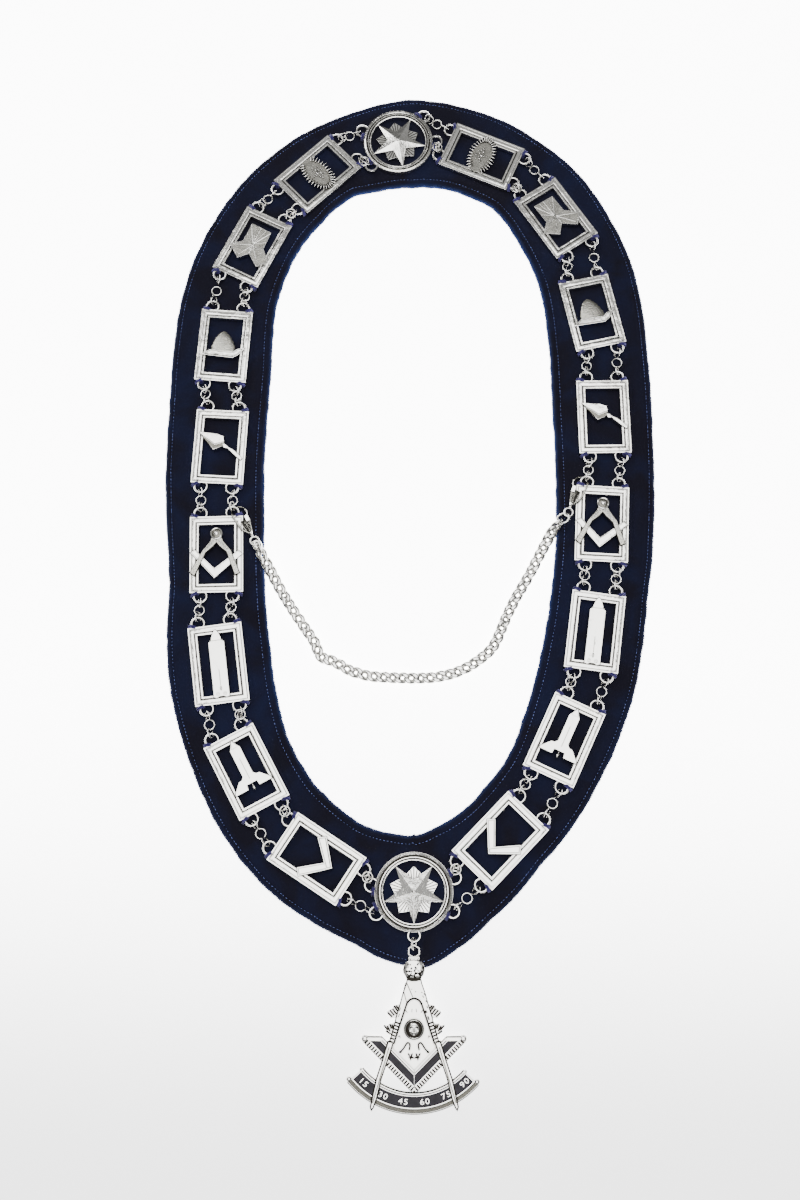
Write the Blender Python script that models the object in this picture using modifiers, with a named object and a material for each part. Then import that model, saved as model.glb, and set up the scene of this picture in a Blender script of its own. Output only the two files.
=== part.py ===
"""A chain collar of cast plaques sewn on a velvet band, with a jewel and a safety chain.

The collar lies flat on a surface, +Z up. The top star is towards +Y and the jewel towards -Y.
The wearer's neck goes through the middle. Lengths are in metres, turns in degrees.
"""
import math

import bmesh
import bpy
from mathutils import Matrix, Vector

# Clearances
SEAT_GAP = 0.0003

# Velvet band
COLLAR_WIDTH = 0.266
COLLAR_LENGTH = 0.489
COLLAR_TOP = 0.280
BAND_WIDTH = 0.052
VELVET_THICKNESS = 0.003
VELVET_ROUNDING = 0.0007
VELVET_STATIONS = 80

# Cast plaques
PLAQUE_WIDTH = 0.0287
PLAQUE_LENGTH = 0.0425
PLAQUE_THICKNESS = 0.0030
BAR_WIDTH = 0.0050
EMBLEM_THICKNESS = 0.0022
EMBLEM_RISE = 0.0005

# Round star plaques
STAR_DIAMETER = 0.0400
STAR_BAND = 0.0043
STAR_RISE = 0.0012
STAR_SIDES = 24
TOP_STAR_TURN = 10.0

# Cast loops on the plaques
LOOP_DIAMETER = 0.0080
LOOP_WIRE = 0.0016
LOOP_REACH = 0.0019
LOOP_SPREAD = 0.30
LOOP_SWEEP = 280.0
LOOP_STEPS = 7
LOOP_WIRE_SIDES = 5
PENDANT_LOOP_DIAMETER = 0.0074
PENDANT_LOOP_WIRE = 0.0014

# Strands of small rings between the plaques
STRAND_DIAMETER = 0.0032

# Jewel
JEWEL_THICKNESS = 0.0024
JEWEL_RING_DIAMETER = 0.0066
JEWEL_RING_WIRE = 0.0011
PENDANT_RING_DIAMETER = 0.0070
PENDANT_RING_WIRE = 0.0009
PENDANT_RING_TILT = 70.0
HEAD_RADIUS = 0.0050
HEAD_DROP = 0.0087
FOOT_SPREAD = 0.0208
LEG_LENGTH = 0.0620
LEG_WIDTH = 0.0040
LEG_TIP_WIDTH = 0.0018
QUADRANT_RADIUS = 0.0437
QUADRANT_BAND = 0.0098
QUADRANT_HALF_ANGLE = 48.0
QUADRANT_DROP = 0.0332
QUADRANT_STEPS = 14
SQUARE_REACH = 0.0256
SQUARE_RISE = 0.0258
SQUARE_ARM = 0.0076
DISC_RADIUS = 0.0049
DISC_DROP = 0.0367
PLATE_LENGTH = 0.0350
PLATE_WIDTH = 0.0228

# Safety chain, clasps and their rings
CHAIN_DIAMETER = 0.0044
CHAIN_STEP = 2.2
HOOK_WIRE = 0.0010
CLASP_LENGTH = 0.0178
CLASP_BODY_LENGTH = 0.0078
CLASP_BODY_WIDTH = 0.0048
CLASP_BODY_THICKNESS = 0.0029
CLASP_END_WIDTH = 0.0020
KNOB_DIAMETER = 0.0024
CLASP_HOLD_ACROSS = 0.0041
CLASP_HOLD_ALONG = 0.0153
LEVER_WIRE = 0.0008
LEVER_ACROSS = 0.0017
LEVER_HUB = 0.0020
LEVER_HUB_HEIGHT = 0.0012
LEVER_PIN = 0.0006
CHEEK_THICKNESS = 0.0006
EYE_DIAMETER = 0.0056
EYE_WIRE = 0.0010
JUMP_RING_DIAMETER = 0.0082
JUMP_RING_WIRE = 0.0009
JUMP_RING_TILT = 38.0

# Worked out from the sizes above
VELVET_TOP = VELVET_THICKNESS
PLAQUE_FOOT = VELVET_TOP + SEAT_GAP
PLAQUE_TOP = PLAQUE_FOOT + PLAQUE_THICKNESS
LOOP_HEIGHT = PLAQUE_TOP - LOOP_WIRE / 2
LOOP_RADIUS = (LOOP_DIAMETER - LOOP_WIRE) / 2
CLASP_END_THICKNESS = CLASP_END_WIDTH * CLASP_BODY_THICKNESS / CLASP_BODY_WIDTH

# The middle of the band, clockwise from the tip as it is seen from above.
# across: share of half the collar's width. down: share of its length, from the top edge.
# outer, inner: share of the band's width that lies outside and inside this line.
BAND_ROWS = [
    # across, down, outer, inner
    (0.034, 0.935, 0.64, 0.60),
    (-0.139, 0.924, 0.55, 0.55),
    (-0.338, 0.896, 0.52, 0.52),
    (-0.534, 0.836, 0.50, 0.50),
    (-0.669, 0.761, 0.48, 0.49),
    (-0.752, 0.669, 0.50, 0.50),
    (-0.789, 0.571, 0.48, 0.48),
    (-0.805, 0.462, 0.49, 0.49),
    (-0.797, 0.352, 0.52, 0.52),
    (-0.763, 0.248, 0.49, 0.49),
    (-0.650, 0.167, 0.46, 0.46),
    (-0.470, 0.108, 0.47, 0.47),
    (-0.256, 0.075, 0.51, 0.51),
    (0.000, 0.058, 0.55, 0.55),
    (0.241, 0.070, 0.51, 0.51),
    (0.474, 0.109, 0.47, 0.48),
    (0.635, 0.161, 0.50, 0.50),
    (0.756, 0.239, 0.52, 0.52),
    (0.786, 0.337, 0.53, 0.53),
    (0.793, 0.454, 0.51, 0.52),
    (0.778, 0.562, 0.49, 0.50),
    (0.733, 0.663, 0.48, 0.49),
    (0.662, 0.736, 0.46, 0.47),
    (0.549, 0.813, 0.45, 0.45),
    (0.383, 0.871, 0.47, 0.46),
    (0.207, 0.914, 0.55, 0.55),
]

# Where each plaque is sewn, in the order of the chain on each side, from the top star down.
# across and down as above. turn: degrees from straight up, to the left.
PLAQUE_ROWS = [
    # emblem, side, across, down, turn
    ("eye", "left", -0.403, 0.097, -46.6),
    ("book", "left", -0.677, 0.191, -26.4),
    ("beehive", "left", -0.786, 0.315, -4.2),
    ("trowel", "left", -0.789, 0.437, -2.9),
    ("square_and_compasses", "left", -0.789, 0.562, 1.6),
    ("plumb", "left", -0.767, 0.685, 7.7),
    ("level", "left", -0.645, 0.801, 28.0),
    ("square", "left", -0.366, 0.892, 56.9),
    ("eye", "right", 0.310, 0.074, 66.6),
    ("book", "right", 0.626, 0.154, 33.6),
    ("beehive", "right", 0.768, 0.274, 12.2),
    ("trowel", "right", 0.801, 0.401, 0.8),
    ("square_and_compasses", "right", 0.778, 0.527, -3.2),
    ("plumb", "right", 0.735, 0.649, -8.0),
    ("level", "right", 0.600, 0.767, -25.1),
    ("square", "right", 0.342, 0.873, -44.3),
]
TOP_STAR_PLACE = (-0.053, 0.054)
BOTTOM_STAR_PLACE = (0.008, 0.926)

# The way that each loop of a star plaque points, in degrees from +X.
STAR_LOOP_TURNS = {
    "top": {"upper_right": 47, "lower_right": 0, "upper_left": 162, "lower_left": 225},
    "bottom": {"upper_right": 19, "lower_right": -26, "upper_left": 171, "lower_left": 209},
}

# The frame's moulding, from its outer edge inwards.
# across: share of the bar's width. rise: share of the plaque's thickness.
FRAME_PROFILE = [
    # across, rise
    (0.16, 1.00),
    (0.26, 0.74),
    (0.40, 0.88),
    (0.68, 0.97),
    (0.80, 0.78),
    (1.00, 0.88),
]

# The star plaque's ring in section, from the outer foot up and inwards.
# inwards: share of the band. rise: share of the plaque's thickness.
STAR_RING_PROFILE = [
    # inwards, rise
    (1.00, 0.00),
    (1.00, 0.86),
    (0.72, 0.95),
    (0.56, 0.70),
    (0.40, 1.00),
    (0.12, 0.96),
    (0.00, 0.84),
    (0.00, 0.00),
]

# Emblems as flat plates. Across is a share of half the plaque's width, up of half its length,
# and rise is the plate's extra height above the lowest plate of its emblem.
EMBLEM_PLATES = {
    "trowel": [
        (0, [(-0.86, 0.38), (0.13, 0.29), (0.19, 0.02), (-0.25, -0.11)]),
        (1, [(0.12, 0.05), (0.30, -0.01), (0.62, -0.15), (0.90, -0.31),
             (0.84, -0.37), (0.50, -0.24), (0.14, -0.04)]),
    ],
    "square_and_compasses": [
        (0, [(-1.00, 0.05), (-0.80, 0.14), (-0.07, -0.36), (0.84, 0.10),
             (0.99, -0.02), (-0.08, -0.65)]),
        (1, [(-0.10, 0.47), (0.06, 0.36), (-0.84, -0.57), (-0.97, -0.49), (-0.40, 0.05)]),
        (1, [(0.12, 0.47), (-0.05, 0.36), (0.72, -0.56), (0.87, -0.53), (0.42, 0.02)]),
    ],
    "plumb": [
        (0, [(-0.30, -0.84), (-0.12, -0.86), (0.12, -0.86), (0.32, -0.84), (0.32, 0.56),
             (0.22, 0.62), (0.13, 0.82), (0.01, 0.89), (-0.11, 0.82), (-0.20, 0.62),
             (-0.30, 0.56)]),
    ],
    "level": [
        (0, [(-0.76, -0.45), (-0.20, -0.45), (-0.12, -0.38), (0.12, -0.38), (0.20, -0.45),
             (0.76, -0.45), (0.58, -0.22), (0.30, -0.08), (0.22, 0.62), (0.0, 0.88),
             (-0.22, 0.62), (-0.30, -0.08), (-0.58, -0.22)]),
    ],
    "square": [
        (0, [(0.02, -0.46), (0.87, 0.09), (0.64, 0.28), (0.00, -0.13), (-0.64, 0.30),
             (-0.89, 0.14)]),
    ],
    "beehive": [
        (0, [(-0.80, -0.24), (0.42, -0.29), (0.66, -0.18), (0.80, -0.04), (0.46, -0.02),
             (-0.56, -0.10)]),
        (1, [(-0.54, -0.16), (0.46, -0.08), (0.40, 0.12), (0.24, 0.32), (-0.03, 0.45),
             (-0.28, 0.34), (-0.46, 0.14)]),
    ],
    "book": [
        (0, [(-0.50, -0.06), (0.44, 0.00), (0.40, 0.55), (-0.54, 0.61)]),
        (1, [(-0.56, -0.02), (-0.82, -0.22), (-0.27, -0.46), (0.03, -0.24), (0.57, -0.50),
             (0.90, -0.26), (0.48, 0.04), (0.00, -0.10)]),
    ],
}
EYE_HALF_WIDTH = 0.80
EYE_HALF_HEIGHT = 0.315
EYE_SIDES = 16
COMPASS_HINGE = (0.01, 0.53, 0.21)

# The clasp's hook wire, from the body's end to the hook's tip, as it is on the right side.
# across and along: share of the clasp's length. lift: share of the gap under the held loop.
HOOK_ROUTE = [
    # across, along, lift
    (0.05, 0.03, 2.50),
    (0.18, 0.20, 2.55),
    (0.23, 0.40, 2.70),
    (0.26, 0.61, 2.75),
    (0.268, 0.72, 2.60),
    (0.262, 0.79, 2.15),
    (0.25, 0.86, 1.30),
    (0.20, 0.93, 0.71),
    (0.10, 0.985, 0.50),
    (-0.02, 0.97, 0.62),
    (-0.12, 0.88, 1.25),
    (-0.17, 0.75, 2.30),
]
LEVER_END = (-0.168, 0.705)
CLASP_TURN = {"left": 26.0, "right": -20.0}

# The safety chain's route as it is seen from above, from left to right, between its end rings.
# across and down as for the band. lift: 0 on the surface, 1 on the velvet.
CHAIN_ROUTE = [
    # across, down, lift
    (-0.579, 0.575, 0.90),
    (-0.519, 0.605, 0.30),
    (-0.451, 0.634, 0.00),
    (-0.391, 0.658, 0.00),
    (-0.361, 0.675, 0.00),
    (-0.308, 0.681, 0.00),
    (-0.241, 0.691, 0.00),
    (-0.158, 0.697, 0.00),
    (-0.038, 0.699, 0.00),
    (0.053, 0.699, 0.00),
    (0.120, 0.697, 0.00),
    (0.195, 0.691, 0.00),
    (0.271, 0.679, 0.00),
    (0.331, 0.663, 0.00),
    (0.383, 0.632, 0.00),
    (0.421, 0.611, 0.00),
    (0.481, 0.583, 0.05),
    (0.541, 0.552, 0.40),
    (0.579, 0.534, 0.95),
]

SILVER = (0.82, 0.81, 0.79, 1.0)
VELVET_BLUE = (0.010, 0.014, 0.045, 1.0)


def clear_scene():
    for old in list(bpy.data.objects):
        bpy.data.objects.remove(old, do_unlink=True)


def make_material(name, colour, metallic, roughness):
    material = bpy.data.materials.new(name)
    material.use_nodes = True
    shader = material.node_tree.nodes["Principled BSDF"]
    shader.inputs["Base Color"].default_value = colour
    shader.inputs["Metallic"].default_value = metallic
    shader.inputs["Roughness"].default_value = roughness
    return material


def silver(name):
    return make_material(name + "_silver", SILVER, 1.0, 0.25)


def link_mesh(mesh, name):
    thing = bpy.data.objects.new(name, mesh)
    COLLAR.objects.link(thing)
    return thing


def baked(thing):
    """Replaces an object's data by its evaluated mesh, with its place put into the mesh."""
    bpy.context.view_layer.update()
    graph = bpy.context.evaluated_depsgraph_get()
    mesh = bpy.data.meshes.new_from_object(thing.evaluated_get(graph))
    mesh.transform(thing.matrix_world)
    name = thing.name
    bpy.data.objects.remove(thing, do_unlink=True)
    form = bmesh.new()
    form.from_mesh(mesh)
    bmesh.ops.remove_doubles(form, verts=form.verts, dist=0.000005)
    bmesh.ops.recalc_face_normals(form, faces=form.faces)
    form.to_mesh(mesh)
    form.free()
    return link_mesh(mesh, name)


def from_form(form, name):
    mesh = bpy.data.meshes.new(name)
    form.to_mesh(mesh)
    form.free()
    return link_mesh(mesh, name)


def tube(points, diameter, name="tube", resolution=1, closed=False):
    """A wire along straight runs, with filled ends."""
    curve = bpy.data.curves.new(name, "CURVE")
    curve.dimensions = "3D"
    curve.bevel_depth = diameter / 2
    curve.bevel_resolution = resolution
    curve.use_fill_caps = True
    spline = curve.splines.new("POLY")
    spline.points.add(len(points) - 1)
    for point, place in zip(spline.points, points):
        point.co = (*place, 1.0)
    spline.use_cyclic_u = closed
    return baked(link_mesh(curve, name))


def plate(outlines, foot, thickness, name="plate", bevel=0.0):
    """A flat plate from one or more closed outlines. Later outlines are holes in the first."""
    curve = bpy.data.curves.new(name, "CURVE")
    curve.dimensions = "2D"
    curve.fill_mode = "BOTH"
    curve.extrude = thickness / 2 - bevel
    curve.bevel_depth = bevel
    curve.bevel_resolution = 0
    curve.offset = -bevel
    for outline in outlines:
        spline = curve.splines.new("POLY")
        spline.points.add(len(outline) - 1)
        for point, (x, y) in zip(spline.points, outline):
            point.co = (x, y, 0.0, 1.0)
        spline.use_cyclic_u = True
    thing = link_mesh(curve, name)
    thing.location.z = foot + thickness / 2
    return baked(thing)


def turned(profile, sides, name="turned"):
    """A closed section in x and z, turned once round the z axis."""
    form = bmesh.new()
    corners = [form.verts.new((x, 0.0, z)) for x, z in profile]
    for start, end in zip(corners, corners[1:] + corners[:1]):
        form.edges.new((start, end))
    thing = from_form(form, name)
    screw = thing.modifiers.new("turn", "SCREW")
    screw.angle = math.tau
    screw.steps = sides
    screw.render_steps = sides
    screw.use_merge_vertices = True
    screw.merge_threshold = 0.00001
    return baked(thing)


def cylinder(radius, end_radius, depth, sides, name="cylinder"):
    form = bmesh.new()
    bmesh.ops.create_cone(form, cap_ends=True, segments=sides, radius1=radius,
                          radius2=end_radius, depth=depth)
    return from_form(form, name)


def ball(radius, name="ball", sides=10, rows=6):
    form = bmesh.new()
    bmesh.ops.create_uvsphere(form, u_segments=sides, v_segments=rows, radius=radius)
    return from_form(form, name)


def ring(diameter, wire, name="ring", sides=12, wire_sides=6):
    """A round ring of wire in the xy plane."""
    bpy.ops.mesh.primitive_torus_add(
        major_segments=sides, minor_segments=wire_sides,
        major_radius=(diameter - wire) / 2, minor_radius=wire / 2)
    thing = bpy.context.object
    thing.name = name
    for collection in list(thing.users_collection):
        collection.objects.unlink(thing)
    COLLAR.objects.link(thing)
    return thing


def moved(thing, place=(0, 0, 0), turn=(0, 0, 0), scale=(1, 1, 1)):
    """Puts a scale, then a turn in degrees, then a move into an object's mesh."""
    turns = Matrix.Identity(4)
    for angle, axis in zip(turn, "XYZ"):
        turns = Matrix.Rotation(math.radians(angle), 4, axis) @ turns
    stretch = Matrix.Diagonal((*scale, 1.0))
    thing.data.transform(Matrix.Translation(place) @ turns @ stretch)
    return thing


def joined(things, name):
    """One object with the meshes of many, not yet united."""
    form = bmesh.new()
    for thing in things:
        form.from_mesh(thing.data)
        bpy.data.objects.remove(thing, do_unlink=True)
    return from_form(form, name)


def fused(name, base, others, material):
    """One soldered solid from a base and the solids that touch it."""
    extra = joined(others, name + "_extra")
    union = base.modifiers.new("solder", "BOOLEAN")
    union.operation = "UNION"
    union.solver = "EXACT"
    union.use_self = True
    union.object = extra
    result = baked(base)
    bpy.data.objects.remove(extra, do_unlink=True)
    return finished(result, name, material)


def finished(thing, name, material):
    thing.name = name
    thing.data.name = name
    thing.data.materials.clear()
    thing.data.materials.append(material)
    thing.data.shade_smooth()
    thing.data.set_sharp_from_angle(angle=math.radians(35))
    return thing


def under(thing, parent):
    thing.parent = parent
    return thing


def empty(name, place=(0, 0, 0), turn=(0, 0, 0)):
    thing = bpy.data.objects.new(name, None)
    thing.location = place
    thing.rotation_euler = [math.radians(angle) for angle in turn]
    COLLAR.objects.link(thing)
    return thing


def spot(across, down):
    """A place on the collar from its shares of half the width and of the length."""
    return Vector((across * COLLAR_WIDTH / 2, COLLAR_TOP - down * COLLAR_LENGTH))


def turn_by(point, degrees):
    return Matrix.Rotation(math.radians(degrees), 2) @ Vector(point)


def smooth_between(before, start, end, after, share):
    """A point on the Catmull-Rom curve from start to end."""
    t = share
    return 0.5 * (2 * start + (end - before) * t
                  + (2 * before - 5 * start + 4 * end - after) * t ** 2
                  + (3 * start - before - 3 * end + after) * t ** 3)


def band_edges():
    """The outer and the inner edge of the velvet, as two lists of points."""
    middles = [spot(across, down) for across, down, _, _ in BAND_ROWS]
    count = len(middles)
    line = []
    shares = []
    for station in range(VELVET_STATIONS):
        place = station * count / VELVET_STATIONS
        row = int(place)
        part = place - row
        points = [middles[(row + step) % count] for step in (-1, 0, 1, 2)]
        line.append(smooth_between(*points, part))
        here = BAND_ROWS[row]
        following = BAND_ROWS[(row + 1) % count]
        shares.append([here[side] + (following[side] - here[side]) * part for side in (2, 3)])
    outer = []
    inner = []
    for station, (point, (out_share, in_share)) in enumerate(zip(line, shares)):
        along = line[(station + 1) % VELVET_STATIONS] - line[station - 1]
        outwards = Vector((-along.y, along.x)).normalized()
        outer.append(point + outwards * out_share * BAND_WIDTH)
        inner.append(point - outwards * in_share * BAND_WIDTH)
    return outer, inner


def make_velvet():
    outer, inner = band_edges()
    velvet = plate([outer, inner], 0.0, VELVET_THICKNESS, "velvet", VELVET_ROUNDING)
    finished(velvet, "velvet_collar", make_material("dark_velvet", VELVET_BLUE, 0.0, 0.95))
    return under(velvet, ROOT)


def loop_wire(centre, outwards, diameter=LOOP_DIAMETER, wire=LOOP_WIRE):
    """An open loop of cast wire, whose two ends go into the edge that it stands on."""
    form = bmesh.new()
    section = bmesh.ops.create_circle(form, cap_ends=True, segments=LOOP_WIRE_SIDES,
                                      radius=wire / 2)["verts"]
    bmesh.ops.rotate(form, cent=(0, 0, 0), matrix=Matrix.Rotation(math.radians(90), 3, "X"),
                     verts=section)
    bmesh.ops.translate(form, vec=((diameter - wire) / 2, 0, 0), verts=section)
    sweep = math.radians(LOOP_SWEEP)
    bmesh.ops.rotate(form, cent=(0, 0, 0), matrix=Matrix.Rotation(-sweep / 2, 3, "Z"),
                     verts=section)
    bmesh.ops.spin(form, geom=form.faces[:], cent=(0, 0, 0), axis=(0, 0, 1), angle=sweep,
                   steps=LOOP_STEPS, use_duplicate=False)
    bmesh.ops.recalc_face_normals(form, faces=form.faces)
    heading = math.degrees(math.atan2(outwards.y, outwards.x))
    return moved(from_form(form, "loop"), (*centre, PLAQUE_TOP - wire / 2), (0, 0, heading))


def plaque_loops(place, turn):
    """The four loops of a rectangular plaque: name to centre and outward direction."""
    loops = {}
    for end, sign in (("upper", 1), ("lower", -1)):
        for side, hand in (("left", -1), ("right", 1)):
            local = (hand * LOOP_SPREAD * PLAQUE_WIDTH, sign * (PLAQUE_LENGTH / 2 + LOOP_REACH))
            loops[end + "_" + side] = (place + turn_by(local, turn), turn_by((0, sign), turn))
    return loops


def star_loops(star, place):
    """The four loops of a star plaque: name to centre and outward direction."""
    loops = {}
    for name, turn in STAR_LOOP_TURNS[star].items():
        outwards = turn_by((1, 0), turn)
        loops[name] = (place + outwards * (STAR_DIAMETER / 2 + LOOP_REACH), outwards)
    return loops


def strand(start, end):
    """A tube for three small rings, from inside one loop's wire to just short of the next."""
    run = end - start
    free = run.length - 2 * LOOP_RADIUS
    if free < LOOP_WIRE + 2 * SEAT_GAP:
        return []
    heading = run.normalized()
    begin = start + heading * LOOP_RADIUS
    stop = end - heading * (LOOP_DIAMETER / 2 + SEAT_GAP)
    return [tube([(*begin, LOOP_HEIGHT), (*stop, LOOP_HEIGHT)], STRAND_DIAMETER, "strand")]


def frame_bars():
    """The rectangular moulded frame, with mitred steps and an open middle."""
    form = bmesh.new()
    bmesh.ops.create_cube(form, size=1.0)
    bmesh.ops.scale(form, vec=(PLAQUE_WIDTH, PLAQUE_LENGTH, PLAQUE_THICKNESS), verts=form.verts)
    top = max(form.faces, key=lambda face: face.normal.z)
    foot = min(form.faces, key=lambda face: face.normal.z)
    across_before = 0.0
    rise_before = 1.0
    for across, rise in FRAME_PROFILE:
        bmesh.ops.inset_region(form, faces=[top], use_even_offset=True,
                               thickness=(across - across_before) * BAR_WIDTH,
                               depth=(rise - rise_before) * PLAQUE_THICKNESS)
        across_before = across
        rise_before = rise
    bmesh.ops.inset_region(form, faces=[foot], use_even_offset=True, thickness=BAR_WIDTH)
    edges = list(top.edges) + list(foot.edges)
    bmesh.ops.delete(form, geom=[top, foot], context="FACES_ONLY")
    bmesh.ops.bridge_loops(form, edges=edges)
    bmesh.ops.recalc_face_normals(form, faces=form.faces)
    frame = from_form(form, "frame")
    return moved(frame, (0, 0, PLAQUE_FOOT + PLAQUE_THICKNESS / 2))


def emblem_solids(emblem):
    """The emblem's plates, at the same height as the frame that their ends lie in."""
    half = (PLAQUE_WIDTH / 2, PLAQUE_LENGTH / 2)
    foot = PLAQUE_TOP - EMBLEM_THICKNESS + EMBLEM_RISE / 2
    solids = []
    if emblem == "eye":
        outline = [(EYE_HALF_WIDTH * half[0] * math.cos(math.tau * side / EYE_SIDES),
                    EYE_HALF_HEIGHT * half[1] * math.sin(math.tau * side / EYE_SIDES))
                   for side in range(EYE_SIDES)]
        solids.append(plate([outline], foot, EMBLEM_THICKNESS))
        return solids
    for level, outline in EMBLEM_PLATES[emblem]:
        sized = [(x * half[0], y * half[1]) for x, y in outline]
        solids.append(plate([sized], foot, EMBLEM_THICKNESS + level * EMBLEM_RISE))
    if emblem == "square_and_compasses":
        x, y, radius = COMPASS_HINGE
        height = EMBLEM_THICKNESS + 2 * EMBLEM_RISE
        hinge = cylinder(radius * half[0], radius * half[0], height, 12)
        solids.append(moved(hinge, (x * half[0], y * half[1], foot + height / 2)))
    return solids


def make_plaque(emblem, side, place, turn, strands):
    frame = moved(frame_bars(), (*place, 0), (0, 0, turn))
    others = [moved(solid, (*place, 0), (0, 0, turn)) for solid in emblem_solids(emblem)]
    for centre, outwards in plaque_loops(place, turn).values():
        others.append(loop_wire(centre, outwards))
    name = emblem + "_plaque_" + side
    return under(fused(name, frame, others + strands, silver(name)), ROOT)


def star_points(radius, valley, height, turn, points=5):
    """A low star shaped pyramid, point down at no turn."""
    form = bmesh.new()
    bmesh.ops.create_cone(form, cap_ends=True, segments=2 * points, radius1=radius,
                          radius2=0.0, depth=height)
    for corner in form.verts:
        step = round(math.atan2(corner.co.x, corner.co.y) / (math.pi / points))
        if corner.co.xy.length > radius / 2 and step % 2:
            corner.co.x *= valley
            corner.co.y *= valley
    star = from_form(form, "star")
    return moved(star, (0, 0, height / 2), (0, 0, turn + 180))


def make_star_plaque(star_name, place, turn, strands):
    profile = [(STAR_DIAMETER / 2 - inwards * STAR_BAND, PLAQUE_FOOT + rise * PLAQUE_THICKNESS)
               for inwards, rise in STAR_RING_PROFILE]
    band = turned(profile, STAR_SIDES)
    opening = STAR_DIAMETER / 2 - STAR_BAND
    foot = PLAQUE_FOOT + 0.25 * PLAQUE_THICKNESS
    rise = PLAQUE_TOP + STAR_RISE - foot
    star = moved(star_points(opening * 1.10, 0.36, rise, turn), (0, 0, foot))
    lobes = moved(star_points(opening * 0.80, 0.62, rise * 0.72, turn + 36), (0, 0, foot))
    others = [star, lobes]
    for thing in [band] + others:
        moved(thing, (*place, 0))
    for centre, outwards in star_loops(star_name, place).values():
        others.append(loop_wire(centre, outwards))
    if star_name == "bottom":
        others.append(loop_wire(pendant_loop_centre(), Vector((0, -1)),
                                PENDANT_LOOP_DIAMETER, PENDANT_LOOP_WIRE))
    name = star_name + "_star_plaque"
    return under(fused(name, band, others + strands, silver(name)), ROOT)


def pendant_loop_centre():
    return spot(*BOTTOM_STAR_PLACE) - Vector((0, STAR_DIAMETER / 2 + 0.0016))


def make_plaques():
    """Both sides of the chain, each plaque with the strands that lead on from it."""
    places = {}
    for emblem, side, across, down, turn in PLAQUE_ROWS:
        places.setdefault(side, []).append((emblem, spot(across, down), turn))
    top_place = spot(*TOP_STAR_PLACE)
    bottom_place = spot(*BOTTOM_STAR_PLACE)
    top_loops = star_loops("top", top_place)
    bottom_loops = star_loops("bottom", bottom_place)
    top_strands = []
    for side, hand in (("left", "right"), ("right", "left")):
        first_loops = plaque_loops(*places[side][0][1:])
        top_strands += strand(top_loops["upper_" + side][0], first_loops["upper_" + side][0])
        top_strands += strand(top_loops["lower_" + side][0], first_loops["upper_" + hand][0])
    make_star_plaque("top", top_place, TOP_STAR_TURN, top_strands)
    for side, row in places.items():
        for number, (emblem, place, turn) in enumerate(row):
            loops = plaque_loops(place, turn)
            if number + 1 < len(row):
                following = plaque_loops(*row[number + 1][1:])
                ends = {hand: following["upper_" + hand][0] for hand in ("left", "right")}
            else:
                near, far = ("right", "left") if side == "left" else ("left", "right")
                ends = {near: bottom_loops["upper_" + side][0],
                        far: bottom_loops["lower_" + side][0]}
            strands = []
            for hand in ("left", "right"):
                strands += strand(loops["lower_" + hand][0], ends[hand])
            make_plaque(emblem, side, place, turn, strands)
    make_star_plaque("bottom", bottom_place, 0, [])


def jewel_ring_place():
    """The middle of the jewel's own ring, just clear of the star's pendant loop."""
    loop = pendant_loop_centre()
    drop = PENDANT_LOOP_DIAMETER / 2 + JEWEL_RING_DIAMETER / 2 + 2 * SEAT_GAP
    height = PLAQUE_FOOT + PENDANT_RING_WIRE + 2 * SEAT_GAP + JEWEL_RING_WIRE / 2
    return Vector((loop.x, loop.y - drop, height))


def make_pendant_ring():
    radius = (PENDANT_RING_DIAMETER - PENDANT_RING_WIRE) / 2
    loop = pendant_loop_centre()
    between = (loop.y - PENDANT_LOOP_DIAMETER / 2 + jewel_ring_place().y
               + JEWEL_RING_DIAMETER / 2) / 2
    height = (PLAQUE_FOOT + PENDANT_RING_WIRE / 2
              + radius * math.sin(math.radians(PENDANT_RING_TILT)))
    thing = ring(PENDANT_RING_DIAMETER, PENDANT_RING_WIRE, "pendant_ring")
    moved(thing, (loop.x, between, height), (0, PENDANT_RING_TILT, 0))
    return under(finished(thing, "pendant_ring", silver("pendant_ring")), ROOT)


def arc(radius, half_angle, steps, drop):
    """Points on an arc about straight down, left to right."""
    points = []
    for step in range(steps + 1):
        angle = math.radians(half_angle) * (2 * step / steps - 1)
        points.append((radius * math.sin(angle), -drop - radius * math.cos(angle)))
    return points


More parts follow.
